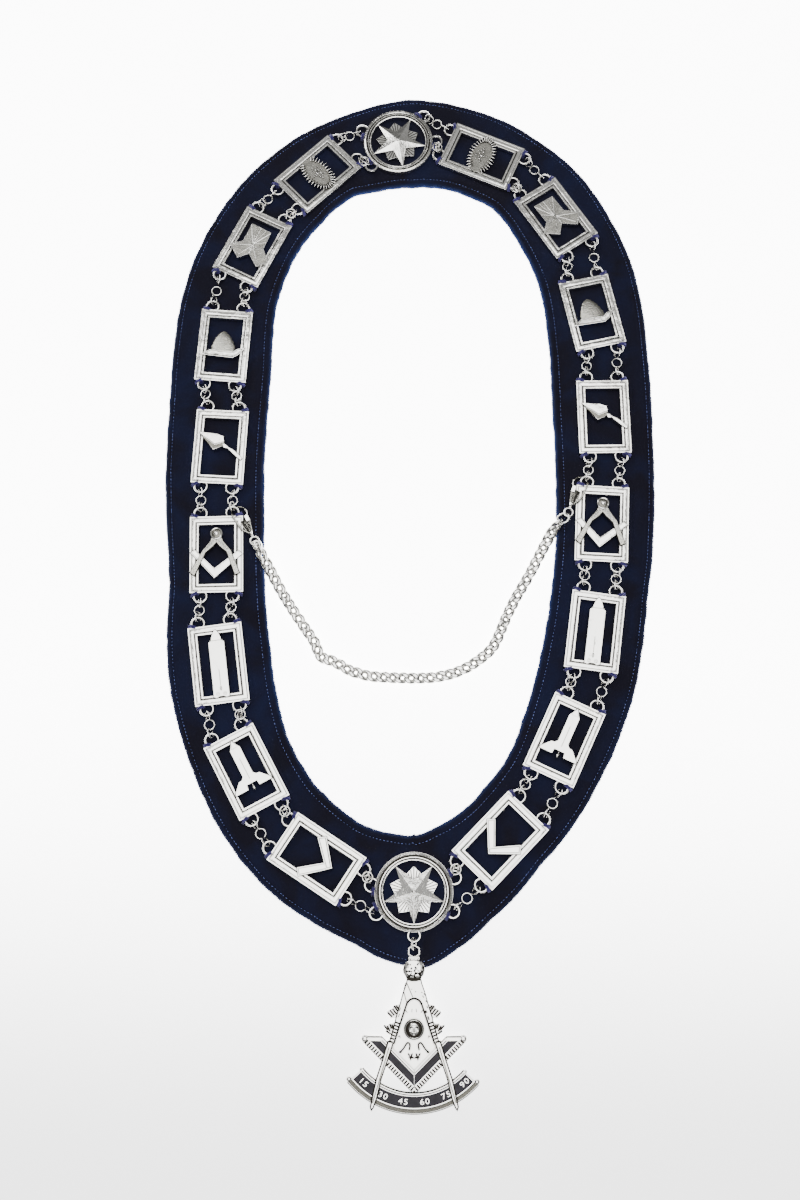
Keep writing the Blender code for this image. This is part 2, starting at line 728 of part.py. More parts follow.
def jewel_solids():
    """The jewel's pieces about its ring's middle, lying in their own plane."""
    half = JEWEL_THICKNESS / 2
    outer = arc(QUADRANT_RADIUS, QUADRANT_HALF_ANGLE, QUADRANT_STEPS, QUADRANT_DROP)
    inner = arc(QUADRANT_RADIUS - QUADRANT_BAND, QUADRANT_HALF_ANGLE * 0.94, QUADRANT_STEPS,
                QUADRANT_DROP)
    quadrant = plate([outer + inner[::-1]], -half, JEWEL_THICKNESS, "quadrant")
    lowest = QUADRANT_DROP + QUADRANT_RADIUS - QUADRANT_BAND
    apex = -lowest - 0.0006
    ends = apex + SQUARE_RISE
    arm = SQUARE_ARM * math.sqrt(2)
    square = plate([[(-SQUARE_REACH, ends), (0, apex), (SQUARE_REACH, ends),
                     (SQUARE_REACH - arm, ends), (0, apex + arm), (arm - SQUARE_REACH, ends)]],
                   -half, JEWEL_THICKNESS, "square")
    top = -0.0216
    wide = PLATE_WIDTH / 2
    shape = [(0.00, 0.00), (0.28, 0.05), (0.46, 0.16), (0.82, 0.48), (1.00, 0.72),
             (0.55, 0.88), (0.00, 1.04)]
    right = [(across * wide, top - down * PLATE_LENGTH) for across, down in shape]
    left = [(-x, y) for x, y in right[1:-1]]
    centre = plate([right + left[::-1]], -half, JEWEL_THICKNESS * 0.7, "centre")
    others = [square, centre]
    disc = cylinder(DISC_RADIUS, DISC_RADIUS * 0.82, JEWEL_THICKNESS * 0.9, 14)
    others.append(moved(disc, (0, -DISC_DROP, 0.8 * half)))
    head = ball(HEAD_RADIUS, sides=14, rows=8)
    others.append(moved(head, (0, -HEAD_DROP, 0), scale=(1, 1, 0.34)))
    for hand in (-1, 1):
        high = (hand * 0.0020, -HEAD_DROP - 0.5 * HEAD_RADIUS)
        low = (hand * FOOT_SPREAD, high[1] - LEG_LENGTH)
        sideways = Vector((low[1] - high[1], high[0] - low[0])).normalized()
        corners = []
        for (x, y), width, sign in ((high, LEG_WIDTH, 1), (low, LEG_TIP_WIDTH, 1),
                                    (low, LEG_TIP_WIDTH, -1), (high, LEG_WIDTH, -1)):
            corners.append((x + sign * sideways.x * width / 2, y + sign * sideways.y * width / 2))
        others.append(plate([corners], -half * 0.8, JEWEL_THICKNESS * 1.3, "leg"))
        for spread, drop in ((0.0098, 0.0286), (0.0125, 0.0355)):
            ray = [(hand * (spread - 0.0050), -drop - 0.0030),
                   (hand * (spread + 0.0012), -drop + 0.0022),
                   (hand * (spread + 0.0016), -drop - 0.0024)]
            others.append(plate([ray], -half, JEWEL_THICKNESS * 0.6, "ray"))
    neck_length = HEAD_DROP - HEAD_RADIUS - JEWEL_RING_DIAMETER / 2 + 0.0018
    neck = cylinder(0.0010, 0.0013, neck_length, 10)
    middle = -(JEWEL_RING_DIAMETER / 2 + HEAD_DROP - HEAD_RADIUS) / 2
    others.append(moved(neck, (0, middle, 0), (90, 0, 0)))
    others.append(ring(JEWEL_RING_DIAMETER, JEWEL_RING_WIRE))
    return quadrant, others


def make_jewel():
    """The jewel leans from the ring, over the velvet's tip, down to the surface."""
    place = jewel_ring_place()
    reach = QUADRANT_DROP + QUADRANT_RADIUS
    lean = math.degrees(math.asin((place.z - JEWEL_THICKNESS / 2) / reach))
    base, others = jewel_solids()
    jewel = fused("pendant_jewel", base, others, silver("pendant_jewel"))
    holder = under(empty("jewel_holder", place, (lean, 0, 0)), ROOT)
    return under(jewel, holder)


def clasp_place(side):
    """Where a clasp's end lies and its turn, from the plaque's loop that its hook holds."""
    for emblem, row_side, across, down, turn in PLAQUE_ROWS:
        if emblem == "square_and_compasses" and row_side == side:
            loops = plaque_loops(spot(across, down), turn)
    hand = 1 if side == "right" else -1
    held = loops["upper_left" if side == "right" else "upper_right"][0]
    lean = CLASP_TURN[side]
    reach = turn_by((hand * CLASP_HOLD_ACROSS, CLASP_HOLD_ALONG), lean)
    return held - reach, lean, hand


def along_clasp(hand, across, along, lift=0.0):
    """A place in the clasp's own frame from its shares."""
    gap = LOOP_HEIGHT - LOOP_WIRE / 2 - VELVET_TOP
    return Vector((hand * across * CLASP_LENGTH, along * CLASP_LENGTH, VELVET_TOP + lift * gap))


def clasp_axis(along):
    """The height of the body's axis. Its underside lies level, just above the plaque's bar."""
    slope = (CLASP_BODY_THICKNESS - CLASP_END_THICKNESS) / 2 / CLASP_BODY_LENGTH
    return PLAQUE_TOP + SEAT_GAP + CLASP_END_THICKNESS / 2 + slope * along


def make_clasp(side):
    place, lean, hand = clasp_place(side)
    holder = under(empty("clasp_holder_" + side, (*place, 0), (0, 0, lean)), ROOT)
    slope = math.degrees(math.atan((clasp_axis(1) - clasp_axis(0))))
    flat = CLASP_BODY_THICKNESS / CLASP_BODY_WIDTH
    body = cylinder(CLASP_END_WIDTH / 2, CLASP_BODY_WIDTH / 2, CLASP_BODY_LENGTH, 12)
    moved(body, (0, CLASP_BODY_LENGTH / 2, 0), (-90, 0, 0))
    moved(body, (0, 0, clasp_axis(0)), (slope, 0, 0), (1, 1, flat))
    knob = moved(ball(KNOB_DIAMETER / 2, sides=8), (0, KNOB_DIAMETER * 0.2, clasp_axis(0)))
    hook = tube([along_clasp(hand, *row) for row in HOOK_ROUTE], HOOK_WIRE, "hook")
    pivot = Vector((-hand * LEVER_ACROSS, 0, clasp_axis(CLASP_BODY_LENGTH)))
    pivot.y = CLASP_BODY_LENGTH + SEAT_GAP * 1.5 + LEVER_HUB / 2
    others = [knob, hook]
    cheek_height = (LEVER_HUB_HEIGHT + CHEEK_THICKNESS) / 2 + SEAT_GAP
    half = LEVER_HUB / 2
    for sign in (-1, 1):
        cheek = plate([[(-half, -3 * half), (half, -3 * half), (half, half * 0.2),
                        (half * 0.4, half * 0.6), (-half * 0.4, half * 0.6),
                        (-half, half * 0.2)]], -CHEEK_THICKNESS / 2, CHEEK_THICKNESS)
        others.append(moved(cheek, (pivot.x, pivot.y, pivot.z + sign * cheek_height)))
    pin = cylinder(LEVER_PIN / 2, LEVER_PIN / 2, 2 * cheek_height, 8)
    others.append(moved(pin, pivot))
    name = "clasp_" + side
    clasp = fused(name, body, others, silver(name))
    under(clasp, holder)
    make_lever(side, hand, holder, pivot)
    make_eye(side, hand, holder)
    return place, lean, hand


def make_lever(side, hand, holder, pivot):
    """The sprung lever, whose hub turns on the pin between the body's cheeks."""
    hole = LEVER_PIN / 2 + SEAT_GAP
    half = LEVER_HUB_HEIGHT / 2
    hub = turned([(hole, -half), (LEVER_HUB / 2, -half), (LEVER_HUB / 2, half), (hole, half)], 12)
    end = along_clasp(hand, *LEVER_END, HOOK_ROUTE[-1][2])
    reach = end - pivot
    start = reach.normalized() * (LEVER_HUB / 2 + hole) / 2
    wire = tube([start, reach], LEVER_WIRE, "lever_wire")
    name = "clasp_lever_" + side
    lever = fused(name, hub, [wire], silver(name))
    lever.location = pivot
    return under(lever, holder)


def eye_centre(hand):
    """The middle of the swivel eye in the clasp's own frame."""
    knob_end = KNOB_DIAMETER * 0.3
    return Vector((0, -knob_end - SEAT_GAP - EYE_WIRE - EYE_DIAMETER / 2, clasp_axis(0)))


def make_eye(side, hand, holder):
    """The ring that turns in the knob, with its shank's head."""
    centre = eye_centre(hand)
    eye = moved(ring(EYE_DIAMETER, EYE_WIRE), centre)
    length = EYE_WIRE * 1.5
    shank = cylinder(EYE_WIRE * 0.6, EYE_WIRE * 0.7, length, 8)
    shank_middle = centre.y + EYE_DIAMETER / 2 + EYE_WIRE - length / 2
    moved(shank, (0, shank_middle, centre.z), (-90, 0, 0))
    name = "swivel_eye_" + side
    return under(fused(name, eye, [shank], silver(name)), holder)


def chain_points():
    """The chain's middle line, without its ends."""
    points = []
    for across, down, lift in CHAIN_ROUTE:
        height = CHAIN_DIAMETER / 2 + lift * (VELVET_TOP + SEAT_GAP)
        points.append(Vector((*spot(across, down), height)))
    return points


def smooth_route(points, spacing):
    """Points near a spacing apart on the smooth curve through a route's own points."""
    ends = [2 * points[0] - points[1]] + points + [2 * points[-1] - points[-2]]
    fine = []
    for number in range(len(points) - 1):
        for step in range(8):
            fine.append(smooth_between(*ends[number:number + 4], step / 8))
    fine.append(points[-1])
    lengths = [(after - before).length for before, after in zip(fine, fine[1:])]
    gap = sum(lengths) / round(sum(lengths) / spacing)
    route = [fine[0]]
    run = 0.0
    for place, length in zip(fine[1:], lengths):
        run += length
        if run > gap * (len(route) - 0.05):
            route.append(place)
    route[-1] = fine[-1]
    return route


def eye_place(side):
    place, lean, hand = clasp_place(side)
    centre = eye_centre(hand)
    return Vector((*(place + turn_by(centre.xy, lean)), centre.z))


def make_safety_chain():
    """The curb chain as one tube, with the jump ring between it and the right eye."""
    points = chain_points()
    height = CHAIN_DIAMETER / 2 + VELVET_TOP + SEAT_GAP
    left_eye = eye_place("left").xy
    heading = (points[0].xy - left_eye).normalized()
    start = left_eye + heading * (EYE_DIAMETER / 2 + SEAT_GAP)
    right_eye = eye_place("right").xy
    heading = (points[-1].xy - right_eye).normalized()
    middle = right_eye + heading * ((EYE_DIAMETER - EYE_WIRE) / 2 - EYE_WIRE / 2 - SEAT_GAP
                                    - JUMP_RING_WIRE / 2
                                    + (JUMP_RING_DIAMETER - JUMP_RING_WIRE) / 2)
    stop = middle + heading * (JUMP_RING_DIAMETER / 2 + SEAT_GAP)
    route = [Vector((*start, height))] + points + [Vector((*stop, height))]
    route = smooth_route(route, CHAIN_STEP * CHAIN_DIAMETER)
    for place in route:
        place.z = max(place.z, CHAIN_DIAMETER / 2)
    chain = tube(route, CHAIN_DIAMETER, "chain", 2)
    under(finished(chain, "safety_chain", silver("safety_chain")), ROOT)
    jump_ring = ring(JUMP_RING_DIAMETER, JUMP_RING_WIRE)
    moved(jump_ring, turn=(JUMP_RING_TILT, 0, 0))
    moved(jump_ring, (*middle, eye_place("right").z),
          (0, 0, math.degrees(math.atan2(heading.y, heading.x))))
    return under(finished(jump_ring, "jump_ring", silver("jump_ring")), ROOT)


def recentre():
    """Puts the collar's lowest and middle point at the origin."""
    bpy.context.view_layer.update()
    corners = [thing.matrix_world @ corner.co for thing in COLLAR.objects
               if thing.type == "MESH" for corner in thing.data.vertices]
    for axis in range(3):
        low = min(corner[axis] for corner in corners)
        high = max(corner[axis] for corner in corners)
        ROOT.location[axis] -= low if axis == 2 else (low + high) / 2


def main():
    make_velvet()
    make_plaques()
    make_pendant_ring()
    make_jewel()
    for side in ("left", "right"):
        make_clasp(side)
    make_safety_chain()
    recentre()


clear_scene()
COLLAR = bpy.data.collections.new("chain_collar")
bpy.context.scene.collection.children.link(COLLAR)
ROOT = empty("collar_root")
main()
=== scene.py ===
# %% [markdown]
# # A chain collar on velvet
#
# The real collar is a band of dark blue velvet, sewn all round, with a chain of cast plaques
# stitched on it. A jewel hangs from its tip, and a safety chain closes the neck opening.
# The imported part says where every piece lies. Here each piece gets its finished form and metal.

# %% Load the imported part
import math
import random

import bmesh
import bpy
import numpy as np
from mathutils import Matrix, Vector, noise


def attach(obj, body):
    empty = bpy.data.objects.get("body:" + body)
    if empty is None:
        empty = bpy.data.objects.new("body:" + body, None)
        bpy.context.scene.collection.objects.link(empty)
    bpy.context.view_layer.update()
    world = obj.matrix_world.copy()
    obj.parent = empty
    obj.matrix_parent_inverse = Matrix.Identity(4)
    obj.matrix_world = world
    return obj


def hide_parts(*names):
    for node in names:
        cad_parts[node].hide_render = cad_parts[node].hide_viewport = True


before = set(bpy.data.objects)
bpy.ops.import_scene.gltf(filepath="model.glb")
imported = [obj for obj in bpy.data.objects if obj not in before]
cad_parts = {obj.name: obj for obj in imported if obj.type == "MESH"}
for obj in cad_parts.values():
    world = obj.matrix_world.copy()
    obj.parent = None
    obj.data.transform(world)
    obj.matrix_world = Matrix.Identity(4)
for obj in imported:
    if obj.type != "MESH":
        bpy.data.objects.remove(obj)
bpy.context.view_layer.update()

MM = 0.001
PLAQUE_FOOT = 3.3 * MM

# %% [markdown]
# ## Camera
#
# The picture was taken from nearly above, leaning a little towards the jewel. A long frame with
# the height as its fixed side keeps the same view at any render size.

# %% Camera
CAMERA_TILT = math.radians(13.3)
CAMERA_PLACE = (-5.6 * MM, -188.2 * MM, 713.8 * MM)
CAMERA_LENS = 40.82

bpy.ops.object.camera_add(location=CAMERA_PLACE, rotation=(CAMERA_TILT, 0, 0))
camera = bpy.context.object
camera.data.sensor_fit = "VERTICAL"
camera.data.sensor_height = 36
camera.data.lens = CAMERA_LENS
bpy.context.scene.camera = camera
print("camera at", [round(value, 3) for value in camera.location])

# %% [markdown]
# ## Nodes
#
# The room's light and every material are graphs of nodes. Each helper here adds one node and
# hands back one of its outputs. An input takes a plain value or another node's output.

# %% Helpers for nodes


def feed(tree, node, inputs):
    for name, value in inputs.items():
        if isinstance(value, bpy.types.NodeSocket):
            tree.links.new(value, node.inputs[name])
        else:
            node.inputs[name].default_value = value


def add_node(tree, kind, output, inputs, **settings):
    node = tree.nodes.new("ShaderNode" + kind)
    for name, value in settings.items():
        setattr(node, name, value)
    feed(tree, node, inputs)
    return node.outputs[output]


def object_place(tree):
    """Where a spot lies on its object, in metres."""
    return add_node(tree, "TexCoord", "Object", {})


def ramp(tree, value, source, target, **settings):
    """Stretches one range of values to another, and holds it at both ends."""
    return add_node(tree, "MapRange", "Result",
                    {"Value": value, "From Min": source[0], "From Max": source[1],
                     "To Min": target[0], "To Max": target[1]}, **settings)


def cloud(tree, place, scale, detail=3, distortion=0.0):
    return add_node(tree, "TexNoise", "Fac", {"Vector": place, "Scale": scale,
                                              "Detail": detail, "Distortion": distortion})


def mixed(tree, factor, first, second):
    return add_node(tree, "Mix", "Result", {"A": first, "B": second, "Factor": factor},
                    data_type="RGBA")


def dented(tree, height, strength, distance, **before):
    return add_node(tree, "Bump", "Normal", {"Height": height, "Strength": strength,
                                             "Distance": distance, **before})


def new_material(name):
    material = bpy.data.materials.new(name)
    material.use_nodes = True
    tree = material.node_tree
    return material, tree, tree.nodes["Principled BSDF"]


print("node helpers ready")

# %% [markdown]
# ## Floor and light
#
# The collar lies on a lit white table, so it casts almost no shadow. The table glows less
# towards the jewel and fades out in a wide circle. Plated metal shows whatever is above it: one
# long soft lamp hangs where the flat tops mirror it, and a dim room gives the slopes their
# greys. Near the horizon the room is nearly dark.

# %% Floor and light
ROOM_LIGHT = 0.46
DARK_CORNERS = 0.05
ROOM_FADE = (0.25, 0.85)
TABLE_COLOUR = (0.9, 0.9, 0.91, 1)
TABLE_GLOW = 10.5
JEWEL_GLOW = 2.3
GLOW_FADE = (-0.34, -0.02)
RIM_GLOW = 0.05
RIM_FADE = (0.45, 0.90)
WHITE = (1.0, 1.0, 1.0, 1.0)
LAMP_POWER = 22.5

world = bpy.data.worlds.new("studio")
world.use_nodes = True
tree = world.node_tree
way = add_node(tree, "TexCoord", "Generated", {})
upwards = add_node(tree, "SeparateXYZ", "Z", {"Vector": way})
room = ramp(tree, upwards, ROOM_FADE, (DARK_CORNERS, ROOM_LIGHT))
feed(tree, tree.nodes["Background"], {"Color": WHITE, "Strength": room})
bpy.context.scene.world = world

bpy.ops.mesh.primitive_plane_add(size=6, location=(0, 0, -0.0002))
floor = bpy.context.object
floor.name = "floor"
table, tree, shader = new_material("lit_table")
place = object_place(tree)
along = add_node(tree, "SeparateXYZ", "Y", {"Vector": place})
far = add_node(tree, "VectorMath", "Value", {0: place}, operation="LENGTH")
glow = add_node(tree, "Math", "Value",
                {0: ramp(tree, along, GLOW_FADE, (JEWEL_GLOW, TABLE_GLOW),
                         interpolation_type="SMOOTHERSTEP"),
                 1: ramp(tree, far, RIM_FADE, (1.0, RIM_GLOW))}, operation="MULTIPLY")
feed(tree, shader, {"Base Color": TABLE_COLOUR, "Roughness": 0.9, "Emission Color": WHITE,
                    "Emission Strength": glow})
floor.data.materials.append(table)


def hang_lamp(place, size, power, aim=(0, 0, 0)):
    """A soft rectangular lamp that looks at one spot of the collar."""
    bpy.ops.object.light_add(type="AREA", location=place)
    lamp = bpy.context.object
    lamp.data.shape = "RECTANGLE"
    lamp.data.size, lamp.data.size_y = size
    lamp.data.energy = power
    lamp.rotation_euler = (Vector(aim) - Vector(place)).to_track_quat("-Z", "Y").to_euler()
    return lamp


hang_lamp((0.0, -0.1, 1.4), (1.0, 1.7), LAMP_POWER, aim=(0, -0.1, 0))
hang_lamp((-0.9, 0.9, 1.0), (0.5, 0.5), LAMP_POWER * 0.25)
print("two lamps over", floor.name)

# %% [markdown]
# ## Small helpers
#
# An operator works on whatever is selected. So each step first clears the selection and then
# selects by place or by direction, as one would by hand with the mouse.

# %% Helpers for selecting and editing


def deselect():
    if bpy.context.object and bpy.context.object.mode != "OBJECT":
        bpy.ops.object.mode_set(mode="OBJECT")
    bpy.ops.object.select_all(action="DESELECT")


def select_only(*things):
    deselect()
    for thing in things:
        thing.select_set(True)
    bpy.context.view_layer.objects.active = things[0]


def edit(thing):
    select_only(thing)
    bpy.ops.object.mode_set(mode="EDIT")


def select_all():
    bpy.ops.mesh.select_all(action="SELECT")


def pick_faces(thing, test):
    """Selects the faces whose middle and direction pass a test, in edit mode."""
    bpy.ops.mesh.select_mode(type="FACE")
    bpy.ops.mesh.select_all(action="DESELECT")
    for face in bmesh.from_edit_mesh(thing.data).faces:
        if test(face.calc_center_median(), face.normal):
            face.select_set(True)
    bmesh.update_edit_mesh(thing.data)


def paint(thing, slot, test=None):
    """Gives the picked faces, or those that pass a test, one of the piece's finishes."""
    if test:
        pick_faces(thing, test)
    thing.active_material_index = slot
    bpy.ops.object.material_slot_assign()


def leave_edit(thing, outwards=True):
    if outwards:
        select_all()
        bpy.ops.mesh.normals_make_consistent(inside=False)
    bpy.ops.object.mode_set(mode="OBJECT")
    return thing


def settle(thing):
    """Puts the object's place, turn and size into its mesh."""
    select_only(thing)
    bpy.ops.object.transform_apply(location=True, rotation=True, scale=True)
    return thing


def turned(thing, angles, place=(0, 0, 0)):
    """Turns a piece about its own middle, moves it and settles it."""
    thing.rotation_euler = [math.radians(angle) for angle in angles]
    thing.location = place
    return settle(thing)


def soften(thing, width, segments=2, angle=32):
    """Rounds the sharp edges, as casting and polishing do."""
    select_only(thing)
    bevel = thing.modifiers.new("soft_edges", "BEVEL")
    bevel.width = width
    bevel.segments = segments
    bevel.limit_method = "ANGLE"
    bevel.angle_limit = math.radians(angle)
    bpy.ops.object.modifier_apply(modifier=bevel.name)
    return thing


def join(name, things):
    select_only(*things)
    if len(things) > 1:
        bpy.ops.object.join()
    joined = bpy.context.object
    joined.name = name
    joined.data.name = name
    return joined


def smooth(thing, angle=35, flats=False):
    """Smooth shading up to an angle. Flats keeps large flat faces flat beside their bevels."""
    select_only(thing)
    bpy.ops.object.shade_smooth_by_angle(angle=math.radians(angle))
    if flats:
        weights = thing.modifiers.new("flat_faces", "WEIGHTED_NORMAL")
        weights.keep_sharp = True
        weights.weight = 80
        bpy.ops.object.modifier_apply(modifier=weights.name)
    return thing


def put_in_scene(name, data):
    thing = bpy.data.objects.new(name, data)
    bpy.context.scene.collection.objects.link(thing)
    return thing


def from_faces(name, corners, faces):
    mesh = bpy.data.meshes.new(name)
    mesh.from_pydata(corners, [], faces)
    return put_in_scene(name, mesh)


def copies_of(master, matrices, name):
    """One mesh that holds a copy of a small piece at each place. The small piece goes."""
    points = np.array([corner.co[:] for corner in master.data.vertices])
    shape = [tuple(face.vertices) for face in master.data.polygons]
    corners = []
    faces = []
    for matrix in matrices:
        base = len(corners)
        corners.extend(map(tuple, points @ np.array(matrix.to_3x3()).T
                           + np.array(matrix.translation)))
        faces += [tuple(base + k for k in face) for face in shape]
    bpy.data.objects.remove(master)
    return from_faces(name, corners, faces)


def metal(thing, *finishes):
    """Gives a loose piece its own finish, cast silver if none is named."""
    thing.data.materials.clear()
    for finish in finishes or (cast_silver,):
        thing.data.materials.append(finish)
    return thing


def wear(thing, finish, body="collar", instead_of=()):
    """Gives a finished piece its material, its body and the part's nodes that it stands for."""
    if finish is not None:
        metal(thing, finish)
    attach(thing, body)
    if instead_of:
        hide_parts(*instead_of)
    return thing


print("helpers ready")

# %% [markdown]
# ## Finishes
#
# The metal is bright nickel over cast brass. It mirrors the light, and it is a little uneven
# from the mould. The grooves are painted darker, as shade, where an occlusion node finds them,
# because it asks how much of the sky each spot sees.

# %% Plated silver
SILVER = (0.88, 0.868, 0.825, 1.0)
HOLLOW_SHADE = (0.016, 0.014, 0.011, 1.0)


def plated(name, roughness, grain_scale, grain_depth, groove=0.0013, colour=SILVER, swell=170,
           dent=0.0006):
    material, tree, shader = new_material(name)
    place = object_place(tree)
    hollow = add_node(tree, "AmbientOcclusion", "AO", {"Distance": groove}, samples=4)
    # Painted shade: where the occlusion node finds a hollow, the dark colour goes into the metal's
    # own.
    tone = mixed(tree, ramp(tree, hollow, (0.40, 0.90), (0, 1)), HOLLOW_SHADE, colour)
    gloss = ramp(tree, cloud(tree, place, 260), (0, 1), (roughness * 0.6, roughness * 1.5))
    swells = dented(tree, cloud(tree, place, swell), 0.5, dent)
    grain = dented(tree, cloud(tree, place, grain_scale), 0.5, grain_depth, Normal=swells)
    feed(tree, shader, {"Metallic": 1.0, "Base Color": tone, "Roughness": gloss,
                        "Normal": grain})
    return material


cast_silver = plated("cast_silver", 0.13, 1100, 0.00010)
wire_silver = plated("wire_silver", 0.12, 600, 0.00004, groove=0.0006)
link_silver = plated("link_silver", 0.12, 600, 0.00004, groove=0.0003)
star_silver = plated("star_silver", 0.15, 1300, 0.00018, groove=0.0005)
page_silver = plated("page_silver", 0.24, 1500, 0.00010, colour=(0.42, 0.41, 0.37, 1.0),
                     dent=0.0002)
speckled_silver = plated("speckled_silver", 0.22, 1700, 0.00040, colour=(0.48, 0.47, 0.42, 1.0))
# A dim silver: painted shade, for faces turned from the light, sunk panels, hatching and the disc
# under a hinge ring.
dim_shade_silver = plated("dim_shade_silver", 0.22, 1300, 0.00015, colour=(0.15, 0.145, 0.125, 1.0))
# Near-black silver: painted shade, put on groove floors, ledges, undersides and the dark chased
# marks and features.
painted_shade = plated("painted_shade", 0.45, 1500, 0.0002, colour=(0.018, 0.016, 0.013, 1.0))
print("finishes:", cast_silver.name, wire_silver.name, speckled_silver.name)

# %% [markdown]
# The jewel's bands are filled with black, so its raised numbers and lines stand out.
# The threads are shiny twisted cotton, one violet blue and one pale.

# %% Black filling and threads


def plain(name, colour, roughness, sheen=0.0, scale=1500, spread=0.35, shine=0.5):
    """A soft or filled finish whose colour and surface vary a little."""
    material, tree, shader = new_material(name)
    grain = cloud(tree, object_place(tree), scale)
    darker = [value * (1 - spread) for value in colour] + [1]
    lighter = [min(value * (1 + spread), 1) for value in colour] + [1]
    feed(tree, shader, {"Roughness": roughness, "Sheen Weight": sheen,
                        "Specular IOR Level": shine,
                        "Base Color": mixed(tree, grain, darker, lighter),
                        "Normal": dented(tree, grain, 0.6, 0.0001)})
    return material


black_filling = plain("black_filling", (0.020, 0.017, 0.023), 0.45, scale=330, spread=0.95,
                      shine=0.2)
violet_thread = plain("violet_thread", (0.030, 0.020, 0.16), 0.6, sheen=0.15)
pale_thread = plain("pale_thread", (0.14, 0.19, 0.50), 0.5, sheen=0.25, scale=220, spread=0.9)
print("also:", black_filling.name, violet_thread.name, pale_thread.name)

# %% [markdown]
# Velvet is a short dense pile. It looks nearly black from above, because the light goes down
# between the hairs, and blue where the hairs lean or stick out at an edge. So the colour is
# dark and the sheen is blue, and the blue of lit pile is painted into the colour as well: in
# brushed patches, and at the edges, which an attribute on the mesh marks.

# %% Velvet
NAVY = (0.0058, 0.0052, 0.0118, 1.0)
# The blue of lit pile, painted into the colour as sheen.
LIT_PILE_BLUE = (0.0080, 0.0200, 0.0900, 1.0)

velvet_finish, tree, shader = new_material("navy_velvet")
place = object_place(tree)
# Painted sheen: random brushed patches of pile get some of the lit blue.
brushed_sheen = ramp(tree, cloud(tree, place, 34, 5, 0.8), (0.40, 0.85), (0, 0.34))
# Painted sheen: the edges marked on the mesh get the lit blue.
border = add_node(tree, "Attribute", "Fac", {}, attribute_name="edge_sheen")
blue = add_node(tree, "Math", "Value", {0: brushed_sheen, 1: border}, operation="ADD", use_clamp=True)
feed(tree, shader, {"Roughness": 0.9, "Specular IOR Level": 0.15, "Sheen Weight": 0.35,
                    "Sheen Roughness": 0.35, "Sheen Tint": (0.15, 0.16, 0.40, 1.0),
                    "Base Color": mixed(tree, blue, NAVY, LIT_PILE_BLUE),
                    "Normal": dented(tree, cloud(tree, place, 2600, 2), 0.9, 0.0003)})
print("velvet ready")

# %% [markdown]
# ## The velvet band
#
# The band is cut from cloth, folded over at both edges and stitched through, so it is plump
# between its two rows of stitches and pinched along them. Its outline comes from the part:
# the points on its two walls are sorted round the collar, and a smooth curve goes through them.
# The cloth is then one strip of cross-sections, closed in a ring. That is quicker and truer
# here than pulling a primitive into this long uneven loop.

# %% The band's outline, from the part
STATIONS = 2200
ROUNDING = 0.7 * MM
MIDDLE = Vector((0.0, 0.02))


def wall_points():
    """The velvet's outer and inner outline, each sorted round the collar."""
    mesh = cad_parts["velvet_collar"].data
    found = {(round(v.co.x, 6), round(v.co.y, 6)) for v in mesh.vertices
             if abs(v.co.z - ROUNDING) < 0.05 * MM}
    arms = [(Vector(place) - MIDDLE, place) for place in found]
    polar = sorted((math.atan2(arm.y, arm.x), arm.length, *place) for arm, place in arms)
    sides = {"outer": [], "inner": []}
    for angle, reach, x, y in polar:
        near = [other[1] for other in polar
                if abs(math.remainder(other[0] - angle, math.tau)) < 0.12]
        side = "outer" if reach > sum(near) / len(near) else "inner"
        sides[side].append(Vector((x, y)))
    return sides["outer"], sides["inner"]


def between(a, b, c, d, t):
    """A share of the way from b to c, on the smooth curve through four points."""
    return 0.5 * (2 * b + (c - a) * t + (2 * a - 5 * b + 4 * c - d) * t * t
                  + (3 * b - a - 3 * c + d) * t ** 3)


def through(points, count):
    """Points on the closed smooth curve through a ring of points."""
    ring = []
    total = len(points)
    for step in range(count):
        where = step * total / count
        four = (points[(int(where) + k) % total] for k in (-1, 0, 1, 2))
        ring.append(between(*four, where % 1))
    return ring


outer_wall, inner_wall = wall_points()
start = min(range(len(inner_wall)), key=lambda k: (inner_wall[k] - outer_wall[0]).length)
inner_wall = inner_wall[start:] + inner_wall[:start]
outer_edge = through(outer_wall, STATIONS)
inner_edge = through(inner_wall, STATIONS)
print("outline points:", len(outer_wall), len(inner_wall))

# %% [markdown]
# The part's band is a little more even than the real one, which was cut and sewn by hand. Here
# its edges are moved out or in by a few millimetres, as read off the photograph at some places
# round the collar. An angle of 0 is at the right, 90 at the back of the neck.

# %% An uneven hem
OUTER_HEM = [
    # degrees round the collar, outwards in millimetres
    (14, 2.0), (36, 1.6), (48, 1.4), (60, 3.6), (66, 5.8), (71, 6.2), (77, 5.2), (83, 3.4),
    (97, 2.5), (118, 2.7), (136, 2.0), (150, 1.0), (166, 2.3), (180, 1.6), (194, 0.9), (204, 3.4),
    (216, 6.0), (228, 6.0), (239, 5.0), (248, 3.4), (256, 0.2), (266, 0.0), (272, -0.5),
    (276, -4.0), (281, -6.0), (288, -5.0), (296, -3.6), (304, -2.4), (314, 0.9), (321, 1.4),
    (330, 0.8), (343, 0.6), (353, 1.8),
]
INNER_HEM = [
    # degrees round the collar, inwards in millimetres
    (0, -1.0), (23, -1.2), (40, -1.0), (52, -2.2), (60, -0.6), (71, -2.4), (76, -5.2), (81, -4.2),
    (87, -3.2), (95, -3.6), (99, -5.0), (105, 0.6), (111, 2.2), (115, 2.2), (121, 1.2),
    (158, 0.9), (180, 1.0), (202, 0.0), (220, -1.2), (231, -2.8), (241, -4.5), (250, -3.6),
    (259, -0.3), (265, 0.8), (269.5, 2.4), (274, 2.7), (279, 2.9), (283, 3.8), (292, 4.0),
    (302, 2.8), (314, 2.2), (327, 0.8), (348, -0.6),
]


